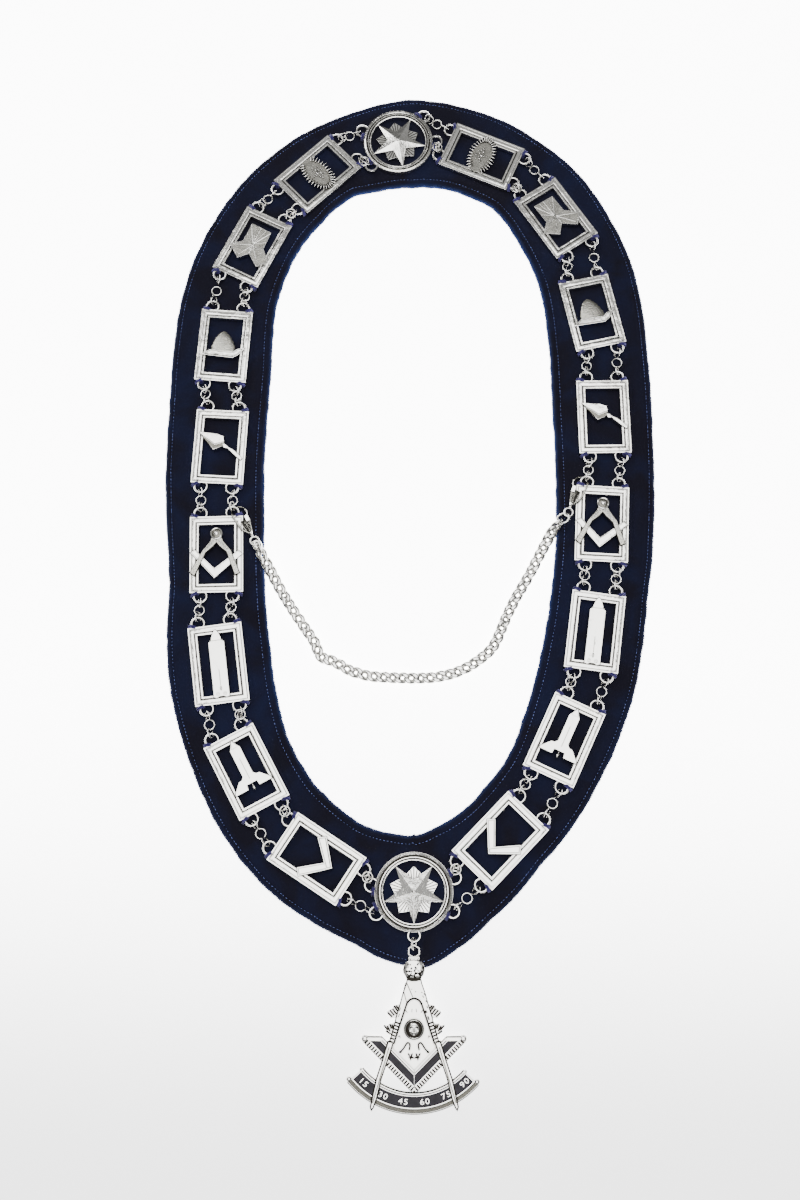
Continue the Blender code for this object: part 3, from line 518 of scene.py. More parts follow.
def hemmed(edge, hem, outwards):
    """The edge moved along the line from the collar's middle, by the hem's table."""
    angles, shifts = zip(*hem)
    moved = []
    for point in edge:
        arm = point - MIDDLE
        degrees = math.degrees(math.atan2(arm.y, arm.x)) % 360
        shift = float(np.interp(degrees, angles, shifts, period=360))
        moved.append(point + arm.normalized() * shift * outwards * MM)
    return moved


outer_edge = hemmed(outer_edge, OUTER_HEM, 1)
inner_edge = hemmed(inner_edge, INNER_HEM, -1)
print("hem moved by up to", max(abs(shift) for degrees, shift in OUTER_HEM), "mm")

# %% [markdown]
# The cross-section runs from under the outer edge, over the top and back under the inner edge.
# Its two dips are the stitch lines. Every second station stands a little proud at the edges,
# which gives the fine teeth of the cut pile.

# %% The velvet strip
OUTER_STITCH = 2.9
INNER_STITCH = 4.4
OUTER_SECTION = [
    # in from the outer edge, height, both in millimetres, and how much the pile sticks out
    (1.2, 0.00, 0.0), (0.3, 0.10, 0.7), (0.0, 0.60, 1.0), (-0.1, 1.30, 1.0), (0.0, 1.95, 1.0),
    (0.3, 2.45, 0.7), (0.8, 2.78, 0.3), (1.5, 2.92, 0.1), (2.2, 2.88, 0.0), (2.6, 2.70, 0.0),
    (OUTER_STITCH, 2.50, 0.0), (3.2, 2.70, 0.0), (3.8, 2.93, 0.0), (5.2, 3.04, 0.0),
]
INNER_SECTION = [
    (6.2, 3.05, 0.0), (5.2, 2.95, 0.0), (4.75, 2.72, 0.0), (INNER_STITCH, 2.50, 0.0),
    (4.05, 2.72, 0.0), (3.5, 2.94, 0.0), (2.2, 3.02, 0.0), (1.3, 2.92, 0.2), (0.6, 2.62, 0.5),
    (0.1, 2.10, 1.0), (-0.1, 1.40, 1.0), (0.0, 0.60, 1.0), (0.3, 0.10, 0.7), (1.2, 0.00, 0.0),
]
MIDDLE_SHARES = (0.2, 0.3, 0.4, 0.5, 0.6, 0.7, 0.8)


def velvet_strip():
    """The strip's corners, how much painted sheen each one gets, and how many lie in one
    cross-section.
    """
    corners = []
    marks = []
    rng = random.Random(4)
    for station, (out, inn) in enumerate(zip(outer_edge, inner_edge)):
        across = (inn - out).normalized()
        width = (inn - out).length
        tooth = (0.30 if station % 2 else -0.16) + rng.uniform(-0.15, 0.15)
        tooth += 0.5 * noise.noise(Vector((out.x * 130, out.y * 130, 5.0)))
        swell = noise.noise(Vector((out.x * 25, out.y * 25, 1.0)))
        row = []
        for inwards, height, pile_out in OUTER_SECTION:
            row.append((out + across * (inwards - tooth * pile_out) * MM, height, pile_out * 0.45))
        for share in MIDDLE_SHARES:
            spot = out + across * (5.2 * MM + share * (width - 11.2 * MM))
            dent = noise.noise(Vector((spot.x * 60, spot.y * 60, 3.0)))
            row.append((spot, 3.02 + 0.08 * dent, 0.0))
        for inwards, height, pile_out in INNER_SECTION:
            spot = inn - across * (inwards - tooth * pile_out) * MM
            row.append((spot, height, pile_out * 0.8))
        for spot, height, mark in row:
            lift = 0.04 * swell if 2.4 < height < 3.0 else 0.0
            corners.append((spot.x, spot.y, (height + lift) * MM))
            marks.append(mark)
    return corners, marks, len(row)


corners, marks, columns = velvet_strip()
faces = []
for station in range(STATIONS):
    here = station * columns
    there = (station + 1) % STATIONS * columns
    for column in range(columns):
        beside = (column + 1) % columns
        faces.append((here + column, here + beside, there + beside, there + column))
velvet_band = from_faces("velvet_band", corners, faces)
# How much painted sheen each corner gets, more where the pile sticks out.
marking = velvet_band.data.attributes.new("edge_sheen", "FLOAT", "POINT")
marking.data.foreach_set("value", marks)
edit(velvet_band)
leave_edit(velvet_band)
smooth(velvet_band, 60)
wear(velvet_band, velvet_finish, instead_of=["velvet_collar"])

# %% [markdown]
# Loose pile stands out at the cut edges as a fine fringe. One tuft is modelled, a thin three
# sided spike, and thousands of copies of it, leaning at random, go into two meshes.

# %% Pile at the edges


def fringe(name, edge, other_edge, each, longest, seed):
    """Some tufts at each station of an edge, turned outwards and up to the longest long."""
    deselect()
    bpy.ops.mesh.primitive_cone_add(vertices=3, radius1=0.11 * MM, depth=1.0 * MM,
                                    location=(0.5 * MM, 0, 0), rotation=(0, math.radians(90), 0))
    tuft = settle(bpy.context.object)
    rng = random.Random(seed)
    matrices = []
    for station in range(STATIONS):
        outwards = (edge[station] - other_edge[station]).normalized()
        heading = math.atan2(outwards.y, outwards.x)
        for _ in range(each):
            length = rng.uniform(0.45, 1.0) * longest * (1.25 if station % 3 else 0.55)
            turn = Matrix.Rotation(heading + rng.gauss(0, 0.45), 4, "Z")
            turn = turn @ Matrix.Rotation(rng.uniform(-0.5, 0.5), 4, "Y")
            root = (*(edge[station] - outwards * 0.25 * MM), rng.uniform(0.35, 2.35) * MM)
            matrices.append(Matrix.Translation(root) @ turn
                            @ Matrix.Diagonal((length, 1, 1, 1)))
    return copies_of(tuft, matrices, name)


# The tufts are coloured the blue of lit pile, a painted sheen, lighter at the inner edge.
outer_pile_finish = plain("outer_pile", (0.006, 0.012, 0.050), 0.85, sheen=0.3)
inner_pile_finish = plain("inner_pile", (0.012, 0.035, 0.150), 0.85, sheen=0.4)
outer_fringe = fringe("velvet_pile_outer", outer_edge, inner_edge, 3, 0.95, 11)
wear(outer_fringe, outer_pile_finish)
inner_fringe = fringe("velvet_pile_inner", inner_edge, outer_edge, 2, 0.85, 12)
wear(inner_fringe, inner_pile_finish)
print("tufts:", len(outer_fringe.data.polygons) // 4 + len(inner_fringe.data.polygons) // 4)

# %% [markdown]
# Each stitch is a short sausage of pale thread lying in the pinched line. It starts as a
# sphere, is drawn long and flat, and is then copied along both lines.

# %% Stitches
STITCH_PITCH = 1.9 * MM


def master_stitch():
    deselect()
    bpy.ops.mesh.primitive_uv_sphere_add(segments=8, ring_count=6, radius=1)
    stitch = bpy.context.object
    stitch.scale = (0.60 * MM, 0.17 * MM, 0.20 * MM)
    return settle(stitch)


def stitch_line(edge, other_edge, inwards):
    """Places along an edge, one stitch pitch apart, each with its heading."""
    line = [a + (b - a).normalized() * inwards for a, b in zip(edge, other_edge)]
    places = []
    run = 0.0
    for before, here in zip(line[-1:] + line[:-1], line):
        run += (here - before).length
        if run >= STITCH_PITCH:
            run -= STITCH_PITCH
            heading = math.atan2(here.y - before.y, here.x - before.x)
            places.append((here, heading))
    return places


stitch = master_stitch()
rng = random.Random(7)
matrices = []
for spot, heading in (stitch_line(outer_edge, inner_edge, OUTER_STITCH * MM)
                      + stitch_line(inner_edge, outer_edge, INNER_STITCH * MM)):
    turn = Matrix.Rotation(heading + rng.gauss(0, 0.08), 4, "Z")
    size = Matrix.Diagonal((rng.uniform(0.55, 1.1), rng.uniform(0.8, 1.1), 1, 1))
    sunk = rng.uniform(0.0, 0.22) * MM
    matrices.append(Matrix.Translation((spot.x, spot.y, 2.58 * MM - sunk)) @ turn @ size)
stitches = copies_of(stitch, matrices, "edge_stitches")
smooth(stitches, 80)
wear(stitches, pale_thread)
print("stitches:", len(matrices))

# %% [markdown]
# ## The cast plaques
#
# Sixteen rectangular plaques are cast in eight patterns, one of each for the left and the right.
# Each pattern is modelled once, lying flat at the middle of the world, and copied to its places.
# The frame starts as a block. Its top face is inset again and again, each time with a small
# rise or fall, and that draws the moulding with its mitred corners.

# %% The moulded frame
PLAQUE_WIDTH = 28.7 * MM
PLAQUE_LENGTH = 42.5 * MM
PLAQUE_THICKNESS = 3.0 * MM
BAR = 5.0 * MM
MOULDING = [
    # inwards, upwards, in millimetres
    (0.75, 0.00), (0.10, -0.20), (0.18, 0.00), (0.14, 0.20), (0.80, 0.12), (0.75, -0.02),
    (0.40, -0.15), (0.09, -0.42), (0.42, 0.00), (0.10, 0.50), (0.92, 0.02), (0.35, -0.35),
]


def moulded_frame():
    deselect()
    bpy.ops.mesh.primitive_cube_add(size=1, location=(0, 0, PLAQUE_THICKNESS / 2))
    bars = bpy.context.object
    bars.scale = (PLAQUE_WIDTH, PLAQUE_LENGTH, PLAQUE_THICKNESS)
    settle(bars)
    edit(bars)
    pick_faces(bars, lambda middle, way: way.z > 0.9)
    for inwards, upwards in MOULDING:
        bpy.ops.mesh.inset(thickness=inwards * MM, depth=upwards * MM)
    pick_faces(bars, lambda middle, way: way.z < -0.9)
    bpy.ops.mesh.inset(thickness=BAR)
    pick_faces(bars, lambda middle, way: abs(way.z) > 0.9 and middle.xy.length < 0.1 * MM)
    bpy.ops.mesh.bridge_edge_loops()
    leave_edit(bars)
    soften(bars, 0.10 * MM, segments=2, angle=25)
    metal(bars, cast_silver, painted_shade, speckled_silver)
    edit(bars)
    # Painted shade: the floor of the narrow groove gets the near-black finish. The wide cove gets
    # the grey speckled finish.
    paint(bars, 1, lambda middle, way: way.z > 0.97 and 2.50 * MM < middle.z < 2.56 * MM)
    paint(bars, 2, lambda middle, way: way.z > 0.97 and 2.77 * MM < middle.z < 2.83 * MM)
    return leave_edit(bars, outwards=False)


bars = moulded_frame()
print("frame faces:", len(bars.data.polygons))

# %% [markdown]
# The four cast loops are rings of wire, cut off where they run into the frame.

# %% Cast loops
LOOP_RADIUS = 3.35 * MM
LOOP_WIRE = 1.4 * MM
LOOP_HEIGHT = PLAQUE_THICKNESS - LOOP_WIRE / 2
LOOP_ACROSS = 0.30 * PLAQUE_WIDTH
LOOP_REACH = 1.9 * MM
LOOP_ALONG = PLAQUE_LENGTH / 2 + LOOP_REACH


def cast_loop(place, outwards, radius=LOOP_RADIUS, wire=LOOP_WIRE, kept=2.3 * MM):
    """A ring of wire at a place, without the part of it that would lie in the frame."""
    deselect()
    bpy.ops.mesh.primitive_torus_add(location=(place[0], place[1], PLAQUE_THICKNESS - wire / 2),
                                     major_radius=radius, minor_radius=wire / 2,
                                     major_segments=32, minor_segments=10)
    loop = metal(settle(bpy.context.object))
    edit(loop)
    select_all()
    cut = Vector((place[0], place[1], 0)) - Vector((*outwards, 0)) * kept
    bpy.ops.mesh.bisect(plane_co=cut, plane_no=(*outwards, 0), clear_inner=True, use_fill=True)
    return leave_edit(loop)


loops = [cast_loop((right * LOOP_ACROSS, up * LOOP_ALONG), Vector((0, up)))
         for up in (-1, 1) for right in (-1, 1)]
blank = join("plaque_blank", [bars] + loops)
smooth(blank, 40)
print("blank plaque faces:", len(blank.data.polygons))

# %% [markdown]
# An emblem is cut from flat metal. A filled circle with as many corners as the emblem's outline
# is added, its corners are pulled to their places, and the face is extruded to its thickness.
# Outlines are written as shares of half the plaque's width and half its length.

# %% Cutting a flat emblem
HALF = (PLAQUE_WIDTH / 2, PLAQUE_LENGTH / 2)
EMBLEM_FOOT = 0.9 * MM
EMBLEM_TOP = 3.75 * MM
RIM_SLOPE = 0.32 * MM
# just over the frame's bars, in millimetres
BARS_TOP = 3.25


def cut_plate(outline, foot, top, rim=0.0, sink=0.0, edge=0.12 * MM, size=HALF, finish=None,
              ledge=None, step=0.28 * MM):
    """A flat plate with an outline, with a rim round a raised or sunk middle if it is asked.

    The ledge is a step round the plate, a little above whatever the plate lies on, painted
    dark as the shade along the plate's edge. The slope between the rim and the middle is
    painted dark too, as shade.
    """
    deselect()
    bpy.ops.mesh.primitive_circle_add(vertices=len(outline), radius=1, fill_type="NGON")
    flat = metal(bpy.context.object, finish or cast_silver, painted_shade)
    for corner, (x, y) in zip(flat.data.vertices, outline):
        corner.co = (x * size[0], y * size[1], foot)
    edit(flat)
    select_all()
    low = foot if ledge is None else ledge
    if ledge is not None:
        bpy.ops.mesh.extrude_region_move(TRANSFORM_OT_translate={"value": (0, 0, ledge - foot)})
        bpy.ops.mesh.inset(thickness=step)
    bpy.ops.mesh.extrude_region_move(TRANSFORM_OT_translate={"value": (0, 0, top - low)})
    if rim:
        bpy.ops.mesh.inset(thickness=rim, depth=0)
        bpy.ops.mesh.inset(thickness=RIM_SLOPE, depth=sink)
    leave_edit(flat)
    edit(flat)
    # Painted shade: the ledge's step and the slope inside the rim get the dark finish.
    paint(flat, 1, lambda middle, way:
          ledge is not None and way.z > 0.9 and abs(middle.z - ledge) < 0.01 * MM
          or rim and 0.1 < way.z < 0.995
          and abs(middle.z - top - sink / 2) < abs(sink) * 0.3)
    leave_edit(flat, outwards=False)
    return soften(flat, edge, segments=2, angle=30) if edge else flat


def share_of_plaque(x, y):
    return (x * HALF[0], y * HALF[1])


def above(x, y, rise=0.0):
    """A place over a plaque, in shares of its size, a little above the emblem's top."""
    return (*share_of_plaque(x, y), EMBLEM_TOP + rise * MM)


def emblem(outline, rise=0.0, finish=None, **lengths):
    """A plate on a plaque. The rise and the other lengths are in millimetres."""
    lengths = {name: length * MM for name, length in lengths.items()}
    return cut_plate(outline, EMBLEM_FOOT, EMBLEM_TOP + rise * MM, finish=finish, **lengths)


def plate(outline, foot, top, finish=None, **lengths):
    """A plate whose outline, heights and other lengths are all in millimetres."""
    lengths = {name: length * MM for name, length in lengths.items()}
    return cut_plate(outline, foot * MM, top * MM, size=(MM, MM), finish=finish, **lengths)


def dome(place, radii, segments=20, rings=12):
    """A rounded boss: a sphere pressed to three half sizes, in millimetres."""
    deselect()
    bpy.ops.mesh.primitive_uv_sphere_add(segments=segments, ring_count=rings, radius=1,
                                         location=place)
    boss = bpy.context.object
    boss.scale = [radius * MM for radius in radii]
    return metal(settle(boss))


def band_ring(place, radius, wire, squash=(1, 1, 1), major=32, minor=8):
    deselect()
    bpy.ops.mesh.primitive_torus_add(major_radius=radius, minor_radius=wire / 2,
                                     major_segments=major, minor_segments=minor, location=place)
    ring = bpy.context.object
    ring.scale = squash
    return metal(settle(ring))


def rod(start, end, width, height, foot, finish=None, edge=0.3):
    """A straight raised line from start to end, flat underneath and bevelled above."""
    start, end = Vector(start), Vector(end)
    side = (end - start).normalized().orthogonal() * width / 2
    outline = [start + side, start - side, end - side, end + side]
    return cut_plate([(p.x, p.y) for p in outline], foot, foot + height, size=(1, 1),
                     edge=width * edge, finish=finish)


print("cutting helpers ready")

# %% [markdown]
# The trowel has a blade of two slopes that meet in a ridge, and a round handle on a bent neck.
# Here the slopes are two flat steps, and the lower one is a dim silver: painted shade for the
# slope turned from the light.
# The square and compasses are three plates that cross, with a ringed hinge on top.

# %% Trowel, square and compasses, plumb, level and square


def pattern_trowel():
    blade = emblem([(-0.86, 0.38), (0.13, 0.29), (0.19, 0.02), (-0.25, -0.11)], -0.35, edge=0.15,
                   ledge=BARS_TOP)
    upper = emblem([(-0.84, 0.365), (-0.12, 0.325), (0.11, 0.27), (0.15, 0.14), (-0.20, 0.06),
                    (-0.42, 0.17), (-0.70, 0.28)], 0.15, edge=0.10)
    # Painted shade: the lower half of the blade is dim silver.
    lower = emblem([(-0.72, 0.265), (-0.43, 0.145), (-0.20, 0.03), (0.16, 0.115), (0.17, 0.03),
                    (-0.24, -0.075)], -0.15, edge=0.05, finish=dim_shade_silver)
    neck = emblem([(0.10, 0.06), (0.16, 0.09), (0.34, 0.0), (0.30, -0.045), (0.14, -0.04)],
                  edge=0.3)
    handle = emblem([(0.30, 0.005), (0.50, -0.055), (0.72, -0.165), (0.91, -0.30), (0.85, -0.37),
                     (0.66, -0.28), (0.45, -0.155), (0.27, -0.045)], 0.2, edge=0.45,
                    ledge=BARS_TOP)
    return [blade, upper, lower, neck, handle]


def pattern_square_and_compasses():
    square = emblem([(-1.00, 0.05), (-0.80, 0.14), (-0.07, -0.36), (0.84, 0.10), (0.99, -0.02),
                     (-0.08, -0.65)], -0.3, rim=0.35, sink=-0.18, edge=0.08, ledge=BARS_TOP)
    left = cut_plate([(-0.15, 0.50), (0.07, 0.33), (-0.10, 0.19), (-0.38, 0.03), (-0.81, -0.59),
                      (-1.00, -0.48), (-0.54, 0.08), (-0.24, 0.33)], EMBLEM_FOOT + 0.3 * MM,
                     EMBLEM_TOP + 0.35 * MM, edge=0.14 * MM, finish=speckled_silver,
                     ledge=EMBLEM_TOP - 0.1 * MM, step=0.36 * MM)
    right = cut_plate([(0.17, 0.50), (-0.05, 0.33), (0.11, 0.19), (0.38, 0.03), (0.69, -0.58),
                       (0.90, -0.52), (0.57, 0.08), (0.28, 0.33)], EMBLEM_FOOT + 0.3 * MM,
                      EMBLEM_TOP + 0.35 * MM, edge=0.14 * MM, finish=speckled_silver,
                      ledge=EMBLEM_TOP - 0.1 * MM, step=0.36 * MM)
    hinge = share_of_plaque(0.01, 0.53)
    boss = dome((*hinge, EMBLEM_TOP), (3.0, 3.0, 0.6))
    # Painted shade: the disc under the hinge ring is dim silver.
    pieces = [square, left, right, metal(boss, dim_shade_silver),
              band_ring((*hinge, EMBLEM_TOP + 0.4 * MM), 2.9 * MM, 0.9 * MM),
              dome((*hinge, EMBLEM_TOP + 0.85 * MM), (1.1, 1.2, 0.4), 12, 8)]
    for hand, low in ((-1, (-0.42, 0.09)), (1, (0.43, 0.08))):
        for step in range(8):
            share = 0.16 + step * 0.10
            aside = hand * (0.45 if step % 2 else -0.45) * MM
            x = (hand * 0.10 + (low[0] - hand * 0.10) * share) * HALF[0] + aside
            y = (0.38 + (low[1] - 0.38) * share) * HALF[1]
            pieces.append(dome((x, y, EMBLEM_TOP + 0.35 * MM), (0.42, 0.42, 0.35), 8, 6))
    # Painted shade: near-black dashes along the square's sunk middle, for its chased lines.
    for start, end in (((-0.72, -0.045), (-0.12, -0.545)), ((-0.03, -0.545), (0.80, -0.07))):
        for step in range(9):
            x, y = (a + (b - a) * (step + 0.5) / 9 for a, b in zip(start, end))
            pieces.append(metal(dome(above(x, y, -0.36), (0.42, 0.22, 0.12), 8, 6),
                                painted_shade))
    return pieces


def pattern_plumb():
    body = emblem([(-0.30, -0.84), (-0.17, -0.87), (-0.05, -0.83), (0.07, -0.83), (0.19, -0.87),
                   (0.32, -0.84), (0.32, 0.56), (0.22, 0.60), (0.21, 0.66), (0.13, 0.80),
                   (0.01, 0.90), (-0.11, 0.80), (-0.19, 0.66), (-0.20, 0.60), (-0.30, 0.56)],
                  edge=0.25, ledge=BARS_TOP)
    shoulder = rod(share_of_plaque(-0.24, 0.595), share_of_plaque(0.26, 0.595), 0.3 * MM,
                   0.2 * MM, EMBLEM_TOP - 0.1 * MM, speckled_silver)
    line = rod(share_of_plaque(0.01, -0.15), share_of_plaque(0.01, -0.55), 0.32 * MM, 0.24 * MM,
               EMBLEM_TOP - 0.14 * MM, speckled_silver)
    bob = dome(above(0.01, -0.62, -0.05), (0.6, 1.3, 0.4))
    knots = [band_ring(above(x, -0.76), 0.75 * MM, 0.45 * MM, major=16, minor=6)
             for x in (-0.12, 0.14)]
    return [body, shoulder, line, bob] + knots


def pattern_level():
    body = emblem([(-0.76, -0.45), (-0.20, -0.45), (-0.18, -0.33), (0.18, -0.33), (0.20, -0.45),
                   (0.76, -0.45), (0.72, -0.37), (0.52, -0.22), (0.42, -0.15), (0.30, -0.14),
                   (0.22, -0.08), (0.22, 0.62), (0.14, 0.70), (0.0, 0.88), (-0.14, 0.70),
                   (-0.22, 0.62), (-0.22, -0.08), (-0.30, -0.14), (-0.42, -0.15), (-0.52, -0.22),
                   (-0.72, -0.37)], edge=0.25, ledge=BARS_TOP)
    point = cut_plate([(-0.13, 0.64), (0.13, 0.64), (0.0, 0.84)], EMBLEM_TOP - 0.2 * MM,
                      EMBLEM_TOP + 0.25 * MM, edge=0.3 * MM)
    line = rod((0, 0.35 * HALF[1]), (0, -0.20 * HALF[1]), 0.32 * MM, 0.22 * MM,
               EMBLEM_TOP - 0.12 * MM, speckled_silver)
    neck = dome((0, -0.36 * HALF[1], EMBLEM_TOP - 0.6 * MM), (0.55, 0.6, 0.7))
    bob = dome((0, -0.43 * HALF[1], EMBLEM_TOP - 0.6 * MM), (0.80, 1.4, 0.8))
    return [body, point, line, neck, bob]


def pattern_square():
    left = emblem([(-0.89, 0.14), (-0.64, 0.30), (0.12, -0.25), (-0.06, -0.41)], -0.15, rim=0.5,
                  sink=-0.2, ledge=BARS_TOP)
    right = emblem([(0.02, -0.46), (0.87, 0.09), (0.64, 0.28), (-0.16, -0.33)], 0.1, rim=0.5,
                   sink=-0.2, ledge=BARS_TOP)
    return [left, right]


print("five patterns written")

# %% [markdown]
# The beehive is a coiled straw dome on a plank. Its coils come from a sphere whose every
# second ring of corners is pulled in. The book lies open under a panel of rays, and the eye
# sits in an oval whose rim is beaded all round but for one plain end.

# %% Beehive, book and eye


def pattern_beehive():
    plank = emblem([(-0.84, -0.30), (0.40, -0.34), (0.62, -0.24), (0.86, -0.03), (0.52, -0.09),
                    (0.40, -0.17), (-0.52, -0.14)], -0.1, rim=0.45, sink=-0.2)
    deselect()
    bpy.ops.mesh.primitive_uv_sphere_add(segments=32, ring_count=30, radius=1,
                                         rotation=(math.radians(-90), 0, 0))
    hive = settle(bpy.context.object)
    for corner in hive.data.vertices:
        row = round(math.acos(max(-1, min(1, corner.co.y))) / math.pi * 30)
        pulled = 0.93 if row % 2 else 1.0
        corner.co.x *= pulled * (1 - 0.24 * corner.co.y ** 2)
        corner.co.z *= pulled
    edit(hive)
    select_all()
    bpy.ops.mesh.bisect(plane_co=(0, 0, 0), plane_no=(0, 1, 0), clear_inner=True, use_fill=True)
    select_all()
    bpy.ops.mesh.bisect(plane_co=(0, 0, 0), plane_no=(0, 0, 1), clear_inner=True, use_fill=True)
    leave_edit(hive)
    hive.scale = (0.52 * HALF[0], 0.62 * HALF[1], 1.7 * MM)
    turned(hive, (0, 0, 4), (-0.01 * HALF[0], -0.20 * HALF[1], EMBLEM_FOOT + 1.1 * MM))
    metal(hive, speckled_silver)
    door = band_ring(above(0.02, -0.055, -0.45), 0.9 * MM, 0.4 * MM, major=16, minor=6)
    return [plank, hive, door]


def pattern_book():
    pieces = [emblem([(-0.44, -0.04), (0.44, 0.00), (0.41, 0.57), (-0.46, 0.59)], -0.4,
                     edge=0.05),
              emblem([(-0.41, -0.02), (0.41, 0.02), (0.38, 0.545), (-0.43, 0.565)], -0.32,
                     edge=0, finish=page_silver)]
    source = Vector(share_of_plaque(-0.02, 0.05))
    for x, y, width in ((-0.45, 0.56, 0.45), (-0.24, 0.57, 0.3), (-0.03, 0.56, 0.55),
                        (0.20, 0.56, 0.3), (0.40, 0.54, 0.6), (-0.44, 0.28, 0.25),
                        (0.42, 0.25, 0.25)):
        pieces.append(rod(source, share_of_plaque(x, y), width * MM, 0.35 * MM,
                          EMBLEM_TOP - 0.5 * MM))
    for page in ([(-0.44, 0.03), (-0.82, -0.21), (-0.30, -0.48), (0.02, -0.25), (-0.01, 0.02)],
                 [(0.02, 0.02), (0.05, -0.25), (0.55, -0.50), (0.90, -0.24), (0.47, 0.04)]):
        pieces.append(emblem(page, -0.15, edge=0.05))
        middle = [sum(corner[axis] for corner in page) / 5 for axis in (0, 1)]
        shrunk = [(middle[0] + (x - middle[0]) * 0.86, middle[1] + (y - middle[1]) * 0.86)
                  for x, y in page]
        pieces.append(emblem(shrunk, -0.07, edge=0, finish=page_silver))
    middle = Vector(share_of_plaque(0.01, 0.03))
    for x, y in ((-0.74, -0.19), (-0.32, -0.38), (0.03, -0.24), (0.54, -0.41), (0.80, -0.21)):
        pieces.append(rod(middle, share_of_plaque(x, y), 0.35 * MM, 0.30 * MM,
                          EMBLEM_TOP - 0.2 * MM))
    return pieces


EYE_BOSSES = [
    # across, along, half length and half width, in millimetres
    (0.0, 0.0, 1.1, 1.0), (-2.4, 0.3, 0.9, 0.5), (2.5, -0.3, 1.2, 0.45), (-1.2, 1.5, 1.0, 0.35),
    (1.2, 1.5, 1.1, 0.40), (-4.0, -0.4, 0.8, 0.35), (4.2, 0.2, 0.9, 0.40), (0.4, -1.6, 1.5, 0.35),
    (3.0, 1.1, 0.8, 0.35), (-2.6, -1.2, 0.8, 0.35), (-0.6, 3.1, 1.2, 0.30), (2.6, 2.7, 0.8, 0.30),
    (-3.0, 2.6, 0.7, 0.30), (0.2, -3.1, 0.9, 0.30),
]


def pattern_eye():
    """A beaded oval round an eye that is made of small bosses."""
    reach = (0.80, 0.315)
    oval = [(0.89 * reach[0] * math.cos(math.tau * k / 48) - 0.06,
             0.86 * reach[1] * math.sin(math.tau * k / 48)) for k in range(48)]
    pieces = [emblem(oval, -0.2, edge=0.2, finish=page_silver)]
    for step in range(29):
        angle = math.radians(180 - 32) - math.radians(296) * step / 28
        place = (0.93 * reach[0] * HALF[0] * math.cos(angle),
                 0.93 * reach[1] * HALF[1] * math.sin(angle), EMBLEM_TOP - 0.25 * MM)
        tooth = dome((0, 0, 0), (2.1, 0.46, 0.95), 8, 6)
        tooth.rotation_euler.z = math.atan2(place[1] / reach[1] ** 2 / HALF[1] ** 2,
                                            place[0] / reach[0] ** 2 / HALF[0] ** 2)
        tooth.location = place
        pieces.append(settle(tooth))
    for x, y, long, wide in EYE_BOSSES:
        pieces.append(dome((x * MM, y * MM, EMBLEM_TOP - 0.15 * MM), (long, wide, 0.55), 10, 6))
    # Painted shade: the pupil is a small near-black boss.
    pieces.append(metal(dome((0, 0, EMBLEM_TOP + 0.35 * MM), (0.45, 0.4, 0.15), 8, 6),
                        painted_shade))
    return pieces


print("eight patterns written")

# %% [markdown]
# The part gives each plaque's place. Its lowest corners are the frame's own: their mean is the
# plaque's middle, and the longest way between neighbours is its long side. Local up is the way
# along the chain to the top star.

# %% Casting the plaques in place
PATTERNS = {"eye": pattern_eye, "book": pattern_book, "beehive": pattern_beehive,
            "trowel": pattern_trowel, "square_and_compasses": pattern_square_and_compasses,
            "plumb": pattern_plumb, "level": pattern_level, "square": pattern_square}


def foot_corners(node):
    """The lowest corners of a plaque in the part."""
    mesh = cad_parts[node].data
    found = {(round(v.co.x, 5), round(v.co.y, 5)) for v in mesh.vertices
             if abs(v.co.z - PLAQUE_FOOT) < 0.02 * MM}
    return [Vector(corner) for corner in sorted(found)]


def doubled(thing):
    """A copy with a mesh of its own."""
    return put_in_scene(thing.name, thing.data.copy())


def plaque_matrix(node):
    """Where a plaque's middle lies and how it is turned, read from the part."""
    corners = foot_corners(node)
    middle = sum(corners, Vector((0, 0))) / len(corners)
    outer = sorted(corners, key=lambda corner: -(corner - middle).length)[:4]
    sides = [a - b for a in outer for b in outer
             if abs((a - b).length - PLAQUE_LENGTH) < 0.5 * MM and (a - b).y > 0]
    up = sum((side.normalized() for side in sides), Vector((0, 0)))
    turn = math.atan2(-up.x, up.y)
    return Matrix.Translation((*middle, PLAQUE_FOOT)) @ Matrix.Rotation(turn, 4, "Z")


PLAQUES = {}
for pattern, model in PATTERNS.items():
    casting = smooth(join("casting_" + pattern, [doubled(blank)] + model()), 40, flats=True)
    for side in ("left", "right"):
        node = pattern + "_plaque_" + side
        plaque = doubled(casting)
        plaque.name = node + "_cast"
        PLAQUES[node] = plaque_matrix(node)
        plaque.data.transform(PLAQUES[node])
        wear(plaque, None, instead_of=[node])
    print(pattern, "faces:", len(casting.data.polygons))
    bpy.data.objects.remove(casting)
bpy.data.objects.remove(blank)

# %% [markdown]
# ## The round star plaques
#
# The ring is turned: a small section is drawn beside the axis and spun round it. Its outer band
# is milled, so each of its faces is inset by itself and sunk. The five long points come
# from a ten sided cone with every second corner pulled in. The shorter lobes between them are
# a plate, and thin near-black bars on it fan out from the middle: painted shade for its rays.
# The floors of the ring's two grooves are painted near black as shade too.

# %% The star patterns
STAR_RADIUS = 20.0 * MM
STAR_SECTION = [
    # radius and height in millimetres
    (20.0, 0.0), (20.0, 2.35), (19.75, 2.65), (18.75, 2.95), (18.45, 2.75), (18.38, 1.95),
    (17.85, 1.95), (17.75, 2.85), (17.55, 3.0), (17.2, 3.0), (17.05, 2.85), (17.0, 2.05),
    (16.55, 2.05), (16.48, 2.6), (16.3, 2.7), (15.85, 2.6), (15.7, 2.2), (15.7, 0.0),
]
